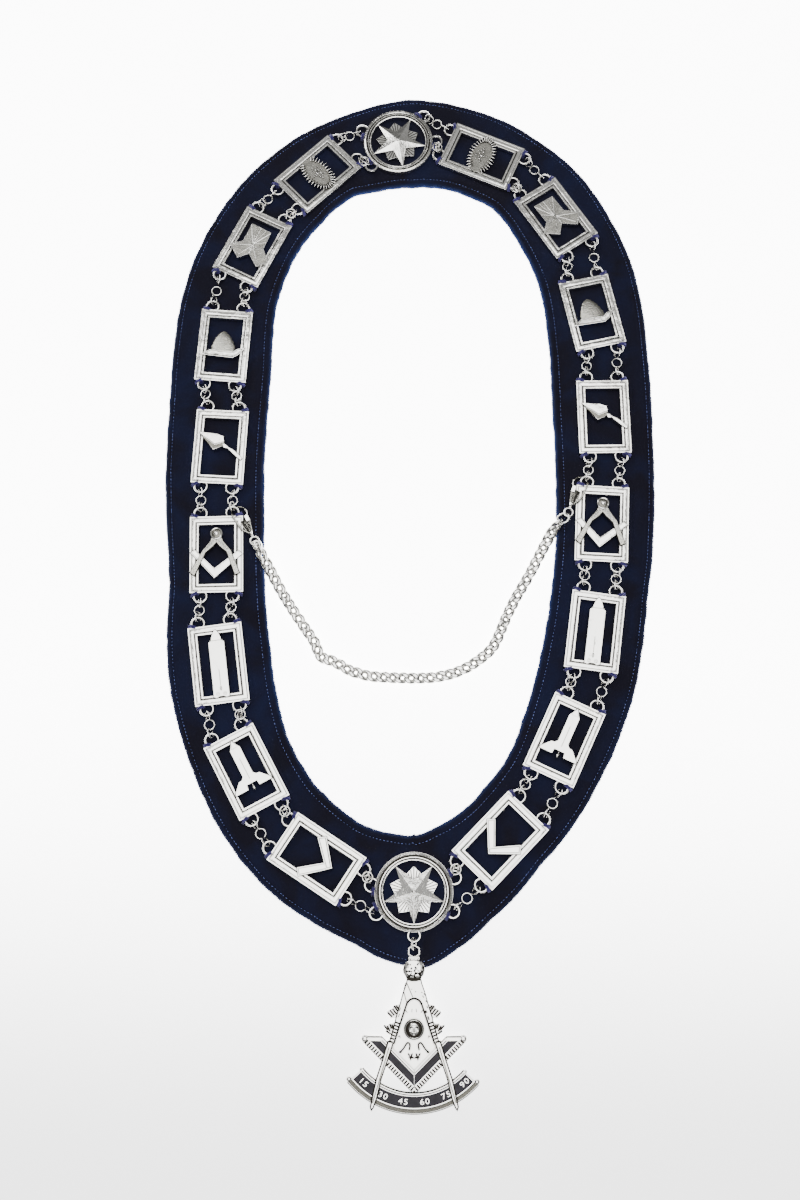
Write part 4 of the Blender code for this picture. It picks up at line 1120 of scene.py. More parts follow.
# the turns of each star's loops and of its points, in degrees
STAR_LOOPS = {"top_star_plaque": (47, 0, 162, 225), "bottom_star_plaque": (19, -26, 171, 209)}
STAR_TURNS = {"top_star_plaque": 10, "bottom_star_plaque": 0}


def turned_ring():
    deselect()
    bpy.ops.mesh.primitive_circle_add(vertices=len(STAR_SECTION), radius=1)
    ring = metal(bpy.context.object, star_silver, painted_shade)
    for corner, (radius, height) in zip(ring.data.vertices, STAR_SECTION):
        corner.co = (radius * MM, 0, height * MM)
    edit(ring)
    select_all()
    bpy.ops.mesh.spin(steps=144, angle=math.tau, center=(0, 0, 0), axis=(0, 0, 1))
    select_all()
    bpy.ops.mesh.remove_doubles(threshold=0.00001)
    bpy.ops.mesh.normals_make_consistent(inside=False)
    pick_faces(ring, lambda middle, way: middle.xy.length > 18.9 * MM and way.z > 0.5)
    bpy.ops.mesh.inset(thickness=0.10 * MM, depth=-0.14 * MM, use_individual=True)
    # Painted shade: the floors of the two grooves get the near-black finish.
    paint(ring, 1, lambda middle, way: way.z > 0.9 and middle.z < 2.2 * MM
          and 16.5 * MM < middle.xy.length < 18.4 * MM)
    return leave_edit(ring, outwards=False)


def long_points():
    deselect()
    bpy.ops.mesh.primitive_cone_add(vertices=10, radius1=16.4 * MM, depth=2.75 * MM,
                                    location=(0, 0, 1.7 * MM + 2.75 * MM / 2))
    star = settle(bpy.context.object)
    for corner in star.data.vertices:
        step = round(math.atan2(corner.co.x, -corner.co.y) / (math.pi / 5))
        if corner.co.xy.length > 1 * MM and step % 2:
            corner.co.x *= 0.39
            corner.co.y *= 0.39
            corner.co.z += 0.75 * MM
    return soften(metal(star, star_silver), 0.12 * MM, segments=1, angle=20)


def rayed_lobes():
    """Five lobes with square gabled ends, each with a fan of near-black bars from the middle,
    painted shade for its rays.
    """
    tip, valley = 12.9 * MM, 9.23 * MM
    outline = [((tip, valley)[corner % 2] * math.sin(corner * math.pi / 5),
                (tip, valley)[corner % 2] * math.cos(corner * math.pi / 5))
               for corner in range(10)]
    pieces = [cut_plate(outline, 0.6 * MM, 1.85 * MM, edge=0.1 * MM, size=(1, 1))]
    for ray in range(35):
        aside = math.radians(8.5 * (ray % 7 - 3))
        angle = aside + ray // 7 * math.tau / 5
        way = Vector((math.sin(angle), math.cos(angle)))
        reach = tip / (math.cos(aside) + abs(math.sin(aside)))
        pieces.append(rod(way * 5 * MM, way * (reach - 0.3 * MM), 0.42 * MM, 0.25 * MM, 1.7 * MM,
                          painted_shade, edge=0))
    return join("lobes", pieces)


def star_pattern(node, place):
    """A ring with its star, its cast loops and, at the bottom, the jewel's loop."""
    pieces = [turned_ring(), long_points(), rayed_lobes(),
              dome((0, 0, 4.3 * MM), (0.9, 0.9, 0.5), 12, 8)]
    for piece in pieces[1:3]:
        turned(piece, (0, 0, STAR_TURNS[node]))
    for turn in STAR_LOOPS[node]:
        outwards = Vector((math.cos(math.radians(turn)), math.sin(math.radians(turn))))
        pieces.append(cast_loop(outwards * (STAR_RADIUS + LOOP_REACH), outwards, kept=2.2 * MM))
    if node == "bottom_star_plaque":
        pieces.append(cast_loop((0, -STAR_RADIUS - 1.6 * MM), Vector((0, -1)), radius=3.0 * MM,
                                wire=1.4 * MM, kept=1.9 * MM))
    star = smooth(join(node + "_cast", pieces), 35, flats=True)
    star.data.transform(Matrix.Translation((*place, PLAQUE_FOOT)))
    return wear(star, None, instead_of=[node])


STARS = {}
for node in STAR_LOOPS:
    corners = foot_corners(node)
    low = Vector((min(c.x for c in corners), min(c.y for c in corners)))
    high = Vector((max(c.x for c in corners), max(c.y for c in corners)))
    STARS[node] = (low + high) / 2
    star = star_pattern(node, STARS[node])
    print(node, "faces:", len(star.data.polygons), "at", [round(v, 4) for v in STARS[node]])

# %% [markdown]
# ## The strands of rings
#
# Two strands of three plain rings join each plaque to the next. The outer two rings lean
# steeply through the cast loops, and the middle one lies flat between them. Where the loops are
# close together the middle ring rides up and lies on top of them.

# %% Rings between the plaques
CHAIN_ORDER = list(PATTERNS)
RING_RADIUS = 2.6 * MM
RING_WIRE = 0.8 * MM
LEAN = math.radians(64)
RINGS_LOW = 3.15 * MM
FLAT_RING = 4.7 * MM
FROM_LOOP = 3.6 * MM


def rect_loops(node):
    """A rectangular plaque's loop centres in the world: (end, hand) to place."""
    matrix = PLAQUES[node]
    return {(up, right): (matrix @ Vector((right * LOOP_ACROSS, up * LOOP_ALONG, 0))).xy
            for up in (-1, 1) for right in (-1, 1)}


def star_loop(node, number):
    turn = math.radians(STAR_LOOPS[node][number])
    return STARS[node] + Vector((math.cos(turn), math.sin(turn))) * (STAR_RADIUS + LOOP_REACH)


def strands(side):
    """Pairs of loop centres that a strand joins, from the top star down one side."""
    number, hand = (0, 1) if side == "right" else (2, -1)
    plaques = [rect_loops(pattern + "_plaque_" + side) for pattern in CHAIN_ORDER]
    pairs = [(star_loop("top_star_plaque", number), plaques[0][(1, hand)]),
             (star_loop("top_star_plaque", number + 1), plaques[0][(1, -hand)])]
    for upper, lower in zip(plaques, plaques[1:]):
        pairs += [(upper[(-1, right)], lower[(1, right)]) for right in (-1, 1)]
    return pairs + [(plaques[-1][(-1, -hand)], star_loop("bottom_star_plaque", number)),
                    (plaques[-1][(-1, hand)], star_loop("bottom_star_plaque", number + 1))]


def ring_matrices(start, end, rng):
    run = end - start
    heading = Matrix.Rotation(math.atan2(run.y, run.x), 4, "Z")
    half = run.length / 2
    standing = RINGS_LOW + RING_WIRE / 2 + RING_RADIUS * math.sin(LEAN)
    room = half - RING_RADIUS > LOOP_RADIUS + 1.0 * MM
    flat = FLAT_RING if room else PLAQUE_FOOT + PLAQUE_THICKNESS + RING_WIRE / 2 + 0.1 * MM
    matrices = []
    for along, height, lean in ((FROM_LOOP, standing, LEAN), (half, flat, rng.uniform(-0.1, 0.1)),
                                (run.length - FROM_LOOP, standing, -LEAN)):
        spot = start + run.normalized() * along
        lean = lean * rng.uniform(0.93, 1.05)
        swing = Matrix.Rotation(rng.gauss(0, 0.09), 4, "Z")
        matrices.append(Matrix.Translation((*spot, height)) @ heading @ swing
                        @ Matrix.Rotation(lean, 4, "X"))
    return matrices


rng = random.Random(21)
for side in ("left", "right"):
    matrices = []
    for start, end in strands(side):
        matrices += ring_matrices(start, end, rng)
    ring = band_ring((0, 0, 0), RING_RADIUS, RING_WIRE, major=28)
    rings = smooth(copies_of(ring, matrices, "connector_rings_" + side), 60)
    wear(rings, wire_silver)
    print(side, "rings:", len(matrices), "shortest strand",
          round(min((b - a).length for a, b in strands(side)) / MM, 1), "mm")

# %% [markdown]
# ## Sewing thread
#
# Each cast loop is sewn down with violet thread, wound a few times round the foot of its wire
# and into the velvet. One turn is an upright oval of thread. Four of them side by side make
# one winding, which is copied to every loop's outer foot.

# %% Thread on the loops


def winding():
    """Four flat ovals round the Y axis, low enough to reach into the pile."""
    turns = []
    for step in range(4):
        deselect()
        bpy.ops.mesh.primitive_torus_add(major_radius=1.05 * MM, minor_radius=0.22 * MM,
                                         major_segments=16, minor_segments=6,
                                         rotation=(math.radians(90 + 4 * (step % 2)), 0, 0))
        turn = settle(bpy.context.object)
        turn.scale = (2.1 - 0.25 * (step % 2), 1.0, 1.75)
        turn.location = (0.3 * (step % 2) * MM, (step - 1.5) * 0.42 * MM, -0.75 * MM)
        turns.append(settle(turn))
    return join("winding", turns)


matrices = []
foot_angle = math.radians(112)
for node, matrix in PLAQUES.items():
    for up in (-1, 1):
        for right in (-1, 1):
            centre = Vector((right * LOOP_ACROSS, up * LOOP_ALONG))
            spot = centre + Vector((right * math.sin(foot_angle),
                                    up * math.cos(foot_angle))) * LOOP_RADIUS
            slope = Matrix.Rotation(right * up * math.radians(22), 4, "Z")
            matrices.append(matrix @ Matrix.Translation((*spot, LOOP_HEIGHT)) @ slope)
for node, place in STARS.items():
    for number, turn in enumerate(STAR_LOOPS[node]):
        heading = math.radians(turn)
        centre = star_loop(node, number)
        hand = 1 if number % 2 == 0 else -1
        away = heading + hand * foot_angle
        spot = centre + Vector((math.cos(away), math.sin(away))) * LOOP_RADIUS
        matrices.append(Matrix.Translation((*spot, PLAQUE_FOOT + LOOP_HEIGHT))
                        @ Matrix.Rotation(heading - math.pi / 2, 4, "Z"))
thread = smooth(copies_of(winding(), matrices, "sewing_thread"), 80)
wear(thread, violet_thread)
print("windings:", len(matrices))

# %% [markdown]
# ## The safety chain
#
# A curb chain's links are ovals, each twisted a little so that they lie flat. On one link the
# near end passes over its neighbour on one side and under it on the other. One link starts as
# a torus, is drawn to an oval, and its wire is lifted and lowered twice round to twist it. The
# last links at both ends stand more on edge, because they hang on the eye and the jump ring.

# %% The chain's route
COLLAR_HALF_WIDTH = 133 * MM
COLLAR_TOP = 280 * MM
COLLAR_LENGTH = 489 * MM
VELVET_TOP = 3.0 * MM
SEAT_GAP = 0.3 * MM
BOTTOM_STAR_SHARES = (0.008, 0.926)
CHAIN_ROUTE = [
    # across, down, lift
    (-0.579, 0.575, 0.90), (-0.519, 0.605, 0.30), (-0.451, 0.634, 0.00),
    (-0.391, 0.658, 0.00), (-0.361, 0.675, 0.00), (-0.308, 0.681, 0.00),
    (-0.241, 0.691, 0.00), (-0.158, 0.697, 0.00), (-0.038, 0.699, 0.00),
    (0.053, 0.699, 0.00), (0.120, 0.697, 0.00), (0.195, 0.691, 0.00),
    (0.271, 0.679, 0.00), (0.331, 0.663, 0.00), (0.383, 0.632, 0.00),
    (0.421, 0.611, 0.00), (0.481, 0.583, 0.05), (0.541, 0.552, 0.40),
    (0.579, 0.534, 0.95),
]


def shares_to_place(across, down):
    return Vector((across * COLLAR_HALF_WIDTH, COLLAR_TOP - down * COLLAR_LENGTH))


SHIFT = STARS["bottom_star_plaque"] - shares_to_place(*BOTTOM_STAR_SHARES)
print("the part's middle was moved by", [round(value / MM, 2) for value in SHIFT], "mm")

# %% Where the clasps lie
CLASP_LENGTH = 17.8 * MM
CLASP_TURN = {"left": 26.0, "right": -20.0}
CLASP_BODY = 7.8 * MM
EYE_RADIUS = 2.3 * MM
EYE_WIRE = 1.0 * MM
EYE_BELOW = 4.82 * MM
JUMP_RADIUS = 3.65 * MM
JUMP_WIRE = 0.9 * MM


def clasp_height(along):
    """The body's underside lies level on the plaque, so its axis climbs to its wide end."""
    return 7.2 * MM + 0.1085 * along


CLASPS = {}
for side, hand in (("left", -1), ("right", 1)):
    turn = Matrix.Rotation(math.radians(CLASP_TURN[side]), 4, "Z")
    held = rect_loops("square_and_compasses_plaque_" + side)[(1, -hand)]
    place = Vector((*held, 0)) - turn @ Vector((hand * 4.1 * MM, 15.3 * MM, 0))
    CLASPS[side] = Matrix.Translation(place) @ turn
EYES = {side: matrix @ Vector((0, -EYE_BELOW, clasp_height(0)))
        for side, matrix in CLASPS.items()}
print("swivel eyes at", [[round(v / MM, 1) for v in eye] for eye in EYES.values()])

# %% Links along the route
LINK_PITCH = 5.0 * MM
LINK_LENGTH = 8.9 * MM
LINK_WIDTH = 6.6 * MM
LINK_WIRE = 2.75 * MM
LINK_TWIST = 1.0 * MM
LINK_HALF_HEIGHT = 1.5 * MM
CHAIN_LOW = 1.65 * MM
START_HEIGHT = 6.3 * MM
STOP_HEIGHT = 6.2 * MM
HELD_BY = 1.4 * MM
END_ROLLS = (55, 22)


def master_link():
    deselect()
    bpy.ops.mesh.primitive_torus_add(major_radius=1.0, minor_radius=0.25, major_segments=28,
                                     minor_segments=8)
    link = bpy.context.object
    for corner in link.data.vertices:
        angle = math.atan2(corner.co.y, corner.co.x)
        wire = corner.co - Vector((math.cos(angle), math.sin(angle), 0))
        middle = Vector((math.cos(angle) * (LINK_LENGTH - LINK_WIRE) / 2,
                         math.sin(angle) * (LINK_WIDTH - LINK_WIRE) / 2,
                         math.sin(2 * angle) * LINK_TWIST))
        corner.co = middle + wire * (LINK_WIRE / 0.5)
        corner.co.z = max(-LINK_HALF_HEIGHT, min(corner.co.z, LINK_HALF_HEIGHT))
    return link


def chain_line():
    """The middle of the chain, from inside the left eye to inside the jump ring."""
    route = [Vector((*(shares_to_place(across, down) + SHIFT),
                     CHAIN_LOW + lift * (VELVET_TOP + SEAT_GAP)))
             for across, down, lift in CHAIN_ROUTE]
    left, right = EYES["left"].xy, EYES["right"].xy
    way = (route[0].xy - left).normalized()
    start = left + way * (EYE_RADIUS - HELD_BY)
    way = (route[-1].xy - right).normalized()
    jump = right + way * (EYE_RADIUS - EYE_WIRE / 2 - SEAT_GAP - JUMP_WIRE / 2 + JUMP_RADIUS)
    stop = jump + way * (JUMP_RADIUS - HELD_BY)
    points = [Vector((*start, START_HEIGHT))] + route + [Vector((*stop, STOP_HEIGHT))]
    return points, jump, math.atan2(way.y, way.x)


def along_curve(points, spacing):
    """Places one spacing apart on the smooth curve through some points, with the way on."""
    ends = [2 * points[0] - points[1]] + points + [2 * points[-1] - points[-2]]
    fine = [between(*ends[number:number + 4], step / 20)
            for number in range(len(points) - 1) for step in range(20)]
    fine.append(points[-1])
    total = sum((b - a).length for a, b in zip(fine, fine[1:]))
    pitch = total / round(total / spacing)
    places = []
    run = pitch / 2
    for before, here in zip(fine, fine[1:]):
        run += (here - before).length
        if run >= pitch:
            run -= pitch
            places.append((here, (here - before).normalized()))
    return places, pitch


points, jump_place, jump_heading = chain_line()
places, pitch = along_curve(points, LINK_PITCH)
rng = random.Random(5)
matrices = []
for number, (place, way) in enumerate(places):
    turn = way.to_track_quat("X", "Z").to_matrix().to_4x4()
    from_end = min(number, len(places) - 1 - number)
    edge_on = math.radians(END_ROLLS[from_end] if from_end < 2 else 0)
    roll = (Matrix.Rotation(edge_on + rng.gauss(0, 0.07), 4, "X")
            @ Matrix.Rotation(rng.gauss(0, 0.05), 4, "Z"))
    matrices.append(Matrix.Translation(place) @ turn @ roll)
chain = smooth(copies_of(master_link(), matrices, "curb_chain"), 60)
wear(chain, link_silver, instead_of=["safety_chain"])
print("links:", len(matrices), "pitch", round(pitch / MM, 2), "mm")

# %% [markdown]
# ## Clasps
#
# Each clasp is a swivel hook. Its flat tapered body has two hatched panels, a knob at the
# narrow end holds the turning eye, and a wire hook leaves the wide end and goes round the
# plaque's loop. A small sprung lever closes the hook's mouth.

# %% Wires from a route


def wire_through(points, diameter, spacing=0.6 * MM, sides=3):
    """A round wire along the smooth curve through some points, from a curve with a bevel."""
    line = [place for place, way in along_curve(points, spacing)[0]]
    line = [points[0]] + line + [points[-1]]
    curve = bpy.data.curves.new("wire", "CURVE")
    curve.dimensions = "3D"
    curve.bevel_depth = diameter / 2
    curve.bevel_resolution = sides
    curve.use_fill_caps = True
    spline = curve.splines.new("POLY")
    spline.points.add(len(line) - 1)
    for point, place in zip(spline.points, line):
        point.co = (*place, 1)
    select_only(put_in_scene("wire", curve))
    bpy.ops.object.convert(target="MESH")
    return bpy.context.object


HOOK_ROUTE = [
    # across, along, lift, in shares of the clasp's length and of the gap under a loop
    (0.05, 0.03, 2.50), (0.18, 0.20, 2.55), (0.23, 0.40, 2.70), (0.26, 0.61, 2.75),
    (0.268, 0.72, 2.60), (0.262, 0.79, 2.15), (0.25, 0.86, 1.30), (0.20, 0.93, 0.71),
    (0.10, 0.985, 0.50), (-0.02, 0.97, 0.62), (-0.12, 0.88, 1.25), (-0.17, 0.75, 2.30),
]
LEVER_END = (-0.168, 0.705, 2.30)
UNDER_LOOP = 1.7 * MM


def on_clasp(hand, across, along, lift):
    return Vector((hand * across * CLASP_LENGTH, along * CLASP_LENGTH,
                   VELVET_TOP + lift * UNDER_LOOP))


def body_halves(along):
    """Half the body's width and half its height at a place along it."""
    share = along / CLASP_BODY
    return (1.3 + 1.5 * share) * MM, (0.9 + 0.75 * share) * MM


def clasp_body():
    """The tapered body: a four sided bar on its edge, its two upper panels sunk, painted dim as
    shade, and ribbed.
    """
    deselect()
    bpy.ops.mesh.primitive_cylinder_add(vertices=4, radius=1, depth=CLASP_BODY)
    body = metal(bpy.context.object, speckled_silver, dim_shade_silver)
    turned(body, (-90, 0, 0), (0, CLASP_BODY / 2, 0))
    for corner in body.data.vertices:
        width, height = body_halves(corner.co.y)
        corner.co.x *= width
        corner.co.z = corner.co.z * height + clasp_height(corner.co.y)
    edit(body)
    pick_faces(body, lambda middle, way: way.z > 0.25 and abs(way.y) < 0.5)
    bpy.ops.mesh.inset(thickness=0.22 * MM, depth=-0.20 * MM, use_individual=True)
    # Painted shade: the sunk panels are dim silver.
    paint(body, 1)
    leave_edit(body)
    soften(body, 0.10 * MM, segments=2, angle=25)
    ribs = []
    for hand in (-1, 1):
        for step in range(8):
            along = (0.95 + step * 0.80) * MM
            width, height = body_halves(along)
            rib = rod((hand * 0.25 * MM, along - 0.2 * MM), (hand * width, along + 0.2 * MM),
                      0.34 * MM, 0.3 * MM, -0.30 * MM, speckled_silver)
            slope = math.degrees(hand * math.atan2(height, width))
            ribs.append(turned(rib, (0, slope, 0), (0, 0, clasp_height(along) + height)))
    return [body] + ribs


# %% Clasps, levers and swivel eyes
for side, hand in (("left", -1), ("right", 1)):
    pieces = clasp_body()
    knob = dome((0, 0.2 * MM, clasp_height(0)), (1.2, 1.1, 1.2), 16, 10)
    hook = metal(wire_through([on_clasp(hand, *row) for row in HOOK_ROUTE], 0.95 * MM),
                 speckled_silver)
    pivot = Vector((-hand * 1.7 * MM, CLASP_BODY + 1.45 * MM, clasp_height(CLASP_BODY)))
    cheeks = []
    for up in (-1, 1):
        cheek = plate([(-1.0, -3.0), (1.0, -3.0), (1.0, 0.2), (0.4, 0.6), (-0.4, 0.6),
                       (-1.0, 0.2)], -0.3, 0.3, edge=0.1)
        cheeks.append(turned(cheek, (0, 0, 0), pivot + Vector((0, 0, up * 1.2 * MM))))
    clasp = smooth(join("clasp_body_" + side, pieces + [knob, hook] + cheeks), 35, flats=True)
    clasp.data.transform(CLASPS[side])
    wear(clasp, None, instead_of=["clasp_" + side])

    hub = band_ring(pivot, 0.75 * MM, 0.55 * MM, major=20, minor=8)
    end = on_clasp(hand, *LEVER_END)
    bow = (pivot + end) / 2 + Vector((-hand * 0.25 * MM, 0, 0.1 * MM))
    start = pivot + (end - pivot).normalized() * 0.8 * MM
    lever = smooth(join("hook_lever_" + side, [hub, wire_through([start, bow, end], 0.8 * MM)]),
                   50)
    lever.data.transform(CLASPS[side])
    wear(lever, wire_silver, body="lever_" + side,
         instead_of=["clasp_lever_" + side])

    eye = band_ring((0, -EYE_BELOW, clasp_height(0)), EYE_RADIUS, EYE_WIRE, major=32, minor=10)
    deselect()
    bpy.ops.mesh.primitive_cylinder_add(vertices=14, radius=0.65 * MM, depth=1.3 * MM,
                                        rotation=(math.radians(90), 0, 0),
                                        location=(0, -1.75 * MM, clasp_height(0)))
    shank = soften(settle(bpy.context.object), 0.15 * MM)
    eye = smooth(join("swivel_eye_ring_" + side, [eye, shank]), 50)
    eye.data.transform(CLASPS[side])
    wear(eye, wire_silver, instead_of=["swivel_eye_" + side])
    print(side, "clasp faces:", len(clasp.data.polygons), "lever", len(lever.data.polygons))

jump = band_ring((0, 0, 0), JUMP_RADIUS, JUMP_WIRE, major=36, minor=10)
turned(jump, (38, 0, 0))
turned(jump, (0, 0, math.degrees(jump_heading)), (*jump_place, EYES["right"].z))
jump.name = "chain_jump_ring"
smooth(jump, 60)
wear(jump, wire_silver, instead_of=["jump_ring"])

# %% [markdown]
# ## The pendant jewel
#
# The jewel is soldered together from flat castings: a graduated quadrant below, a square that
# points down on it, a pair of compasses over both, and a shining plate with the sun between
# the legs. It is modelled about its own ring, lying flat, and then leaned into place.
# Lengths here are in millimetres. As in the photo, the quadrant is turned a little askew, and
# all but the ring, its collar and the head sit a touch nearer to the jewel's foot.

# %% The jewel's place
BOTTOM_STAR = STARS["bottom_star_plaque"]
PENDANT_LOOP = BOTTOM_STAR - Vector((0, STAR_RADIUS + 1.6 * MM))
JEWEL_RING = Vector((PENDANT_LOOP.x, PENDANT_LOOP.y - 7.6 * MM, 5.35 * MM))
JEWEL_LEAN = math.asin((JEWEL_RING.z - 1.2 * MM) / (76.9 * MM))
JEWEL = Matrix.Translation(JEWEL_RING) @ Matrix.Rotation(JEWEL_LEAN, 4, "X")

pendant = band_ring((0, 0, 0), 3.05 * MM, 0.9 * MM, major=32, minor=10)
turned(pendant, (0, 70, 0), (PENDANT_LOOP.x, PENDANT_LOOP.y - 4.0 * MM,
                             PLAQUE_FOOT + 0.45 * MM + 3.05 * MM * math.sin(math.radians(70))))
pendant.name = "pendant_link"
smooth(pendant, 60)
wear(pendant, wire_silver, instead_of=["pendant_ring"])
print("jewel ring at", [round(v / MM, 1) for v in JEWEL_RING], "mm, leaning",
      round(math.degrees(JEWEL_LEAN), 1), "degrees")

# %% [markdown]
# The quadrant is a section spun through part of a turn. Its outer band is hatched by insetting
# each face alone, and the hatching is painted dim as shade. Its sunk band gets the black
# filling, and the numbers stand on it. The groove by the inner rim and the ledges at the foot
# are painted near black as shade.

# %% Quadrant
QUADRANT_DROP = 33.2
QUADRANT_HALF = math.radians(48)
NUMBER_RADIUS = 38.2
LOWER_PIECES_SHIFT = 1.2 * MM
QUADRANT_ASKEW = math.radians(1.2)
QUADRANT_SECTION = [
    # radius and height
    (33.4, -1.2), (33.4, -0.2), (33.9, -0.2), (33.9, 0.95), (34.05, 1.15), (34.45, 1.15),
    (34.6, 0.8), (34.85, 0.8), (35.0, 1.15), (35.35, 1.15), (35.5, 0.55), (40.45, 0.55),
    (40.55, 0.95), (40.75, 1.2), (41.2, 1.2), (41.35, 0.9), (43.3, 0.9), (43.5, 0.65),
    (43.52, -0.2), (44.1, -0.2), (44.1, -1.2),
]
QUADRANT_NUMBERS = [
    # number and the angle of its middle, right of straight down
    ("15", -40.0), ("30", -22.8), ("45", -7.1), ("60", 9.0), ("75", 25.5), ("90", 42.0),
]


def quadrant():
    deselect()
    bpy.ops.mesh.primitive_circle_add(vertices=len(QUADRANT_SECTION), radius=1, fill_type="NGON")
    band = bpy.context.object
    for corner, (radius, height) in zip(band.data.vertices, QUADRANT_SECTION):
        corner.co = (-math.sin(QUADRANT_HALF) * radius * MM,
                     -math.cos(QUADRANT_HALF) * radius * MM, height * MM)
    edit(band)
    select_all()
    bpy.ops.mesh.spin(steps=128, angle=-2 * QUADRANT_HALF, center=(0, 0, 0), axis=(0, 0, 1))
    select_all()
    bpy.ops.mesh.normals_make_consistent(inside=False)
    metal(band, cast_silver, black_filling, painted_shade, dim_shade_silver)
    pick_faces(band, lambda middle, way: way.z > 0.9 and middle.z > 0.5 * MM
               and middle.xy.length > 41.35 * MM)
    bpy.ops.mesh.inset(thickness=0.12 * MM, depth=-0.22 * MM, use_individual=True)
    # Painted shade: the hatching is dim silver, and the groove by the inner rim and the foot's
    # ledges are near black.
    paint(band, 3)
    paint(band, 2, lambda middle, way: way.z > 0.9
          and (middle.xy.length < 34.9 * MM and middle.z < 0.9 * MM or middle.z < 0.0))
    paint(band, 1, lambda middle, way: way.z > 0.9 and middle.z < 0.6 * MM
          and 35.4 * MM < middle.xy.length < 40.5 * MM)
    leave_edit(band, outwards=False)
    for corner in band.data.vertices:
        corner.co.y -= QUADRANT_DROP * MM
    return band


def number_on_band(number, degrees):
    deselect()
    bpy.ops.object.text_add()
    label = bpy.context.object
    label.data.body = number
    label.data.size = 3.9 * MM
    label.data.extrude = 0.30 * MM
    label.data.align_x = "CENTER"
    label.data.align_y = "CENTER"
    label.data.resolution_u = 3
    label.data.space_character = 1.2
    bpy.ops.object.convert(target="MESH")
    label = bpy.context.object
    turn = math.radians(degrees)
    reach = NUMBER_RADIUS * MM
    label.scale.x = 1.15
    return metal(turned(label, (0, 0, degrees), (reach * math.sin(turn),
                                                 -QUADRANT_DROP * MM - reach * math.cos(turn),
                                                 0.75 * MM)))


def band_end(hand):
    """A bright bar across the end of the black band, and the rims' rounded ends."""
    turn = hand * QUADRANT_HALF * 0.985

    def spot(radius, more=0.0):
        return Vector((math.sin(turn + hand * more) * radius,
                       -math.cos(turn + hand * more) * radius - QUADRANT_DROP)) * MM

    bar = rod(spot(34.2), spot(41.0), 0.8 * MM, 0.7 * MM, 0.45 * MM)
    outer = dome((*spot(42.3, 0.025), 0.0), (1.5, 1.4, 1.1), 16, 10)
    inner = dome((*spot(34.7, 0.02), 0.0), (0.9, 0.8, 1.1), 14, 8)
    return [bar, outer, inner]


graduated = join("quadrant", [quadrant()] + band_end(-1) + band_end(1)
                 + [number_on_band(number, degrees) for number, degrees in QUADRANT_NUMBERS])
select_only(graduated)
bpy.ops.transform.rotate(value=QUADRANT_ASKEW, orient_axis="Z", orient_type="GLOBAL",
                         center_override=(0, -QUADRANT_DROP * MM, 0))
settle(graduated)
jewel_pieces = [graduated]
print("quadrant faces:", len(graduated.data.polygons))

# %% [markdown]
# The square's outer borders are ruled across with short ribs, like a measure. Inside them runs
# a black band, closed by a bright line. Under the ribs lies a near-black strip, painted shade
# between them. One arm is built and the other is its mirror image.

# %% The square
SQUARE_APEX = Vector((0, -67.7))
ARM_WAY = Vector((26.2, 25.8)).normalized()
ARM_IN = Vector((-ARM_WAY.y, ARM_WAY.x))


def on_arm(along, inwards):
    place = SQUARE_APEX + ARM_WAY * along + ARM_IN * inwards
    return (place.x, place.y)


def arm_plate(places, foot, top, **options):
    return plate([on_arm(*place) for place in places], foot, top, **options)


def square_arm():
    """The right arm, with a rounded end. Its inner end stops on the middle line."""
    pieces = [arm_plate([(-0.2, -0.2), (36.0, -0.2), (37.4, 0.4), (38.0, 1.6), (37.4, 2.9),
                         (36.0, 3.7), (30.9, 8.5), (8.5, 8.5)], -1.2, 0.45, ledge=0.1, step=0.50),
              # Painted shade: a near-black strip under the ribs of the ruled border.
              arm_plate([(1.2, 0.35), (35.4, 0.35), (35.4, 2.3), (2.9, 2.3)], 0.3, 0.52, edge=0,
                        finish=painted_shade),
              arm_plate([(3.0, 2.9), (33.4, 2.9), (28.6, 7.2), (6.5, 6.4)], 0.3, 0.60, edge=0,
                        finish=black_filling),
              arm_plate([(2.6, 2.3), (35.4, 2.3), (34.8, 2.95), (3.1, 2.95)], 0.3, 1.1),
              arm_plate([(6.6, 6.4), (30.9, 6.4), (30.5, 6.9), (7.0, 6.9)], 0.3, 1.1),
              arm_plate([(7.5, 7.3), (30.6, 7.3), (30.2, 8.1), (8.1, 8.1)], 0.3, 1.1),
              arm_plate([(33.9, 2.5), (35.9, 2.5), (30.6, 8.0), (29.2, 7.0)], 0.3, 1.05)]
    for step in range(22):
        along = 1.9 + step * 1.52
        pieces.append(rod(Vector(on_arm(along, 0.25)) * MM, Vector(on_arm(along, 2.5)) * MM,
                          0.68 * MM, 0.60 * MM, 0.45 * MM, edge=0.15))
    pieces.append(dome((*(Vector(on_arm(36.1, 1.6)) * MM), 0.3 * MM), (1.7, 1.6, 0.8), 16, 10))
    return pieces


def mirrored(thing):
    """A copy on the other side of the jewel's middle line."""
    twin = doubled(thing)
    select_only(twin)
    bpy.ops.transform.mirror(constraint_axis=(True, False, False), orient_type="GLOBAL",
                             center_override=(0, 0, 0))
    settle(twin)
    edit(twin)
    return leave_edit(twin)


arm = join("arm", square_arm())
jewel_pieces += [arm, mirrored(arm)]
print("arm faces:", len(arm.data.polygons))

# %% [markdown]
# Each leg of the compasses is broad and smooth above, has a ladder of short dark rungs along
# its middle, and ends in a narrow bar with two rims and a point that just passes the quadrant.
# A dark line follows the inner edge and goes over the arch between the legs. These rungs and
# lines, the dim line between the rims and the ledges round the legs are painted shade.

# %% Legs of the compasses
# in millimetres
LEG_TOP = 1.75
INNER_EDGE = [(0.0, -21.6), (2.2, -22.4), (3.7, -24.4), (5.1, -28.3), (7.8, -36.4), (10.1, -43.3)]


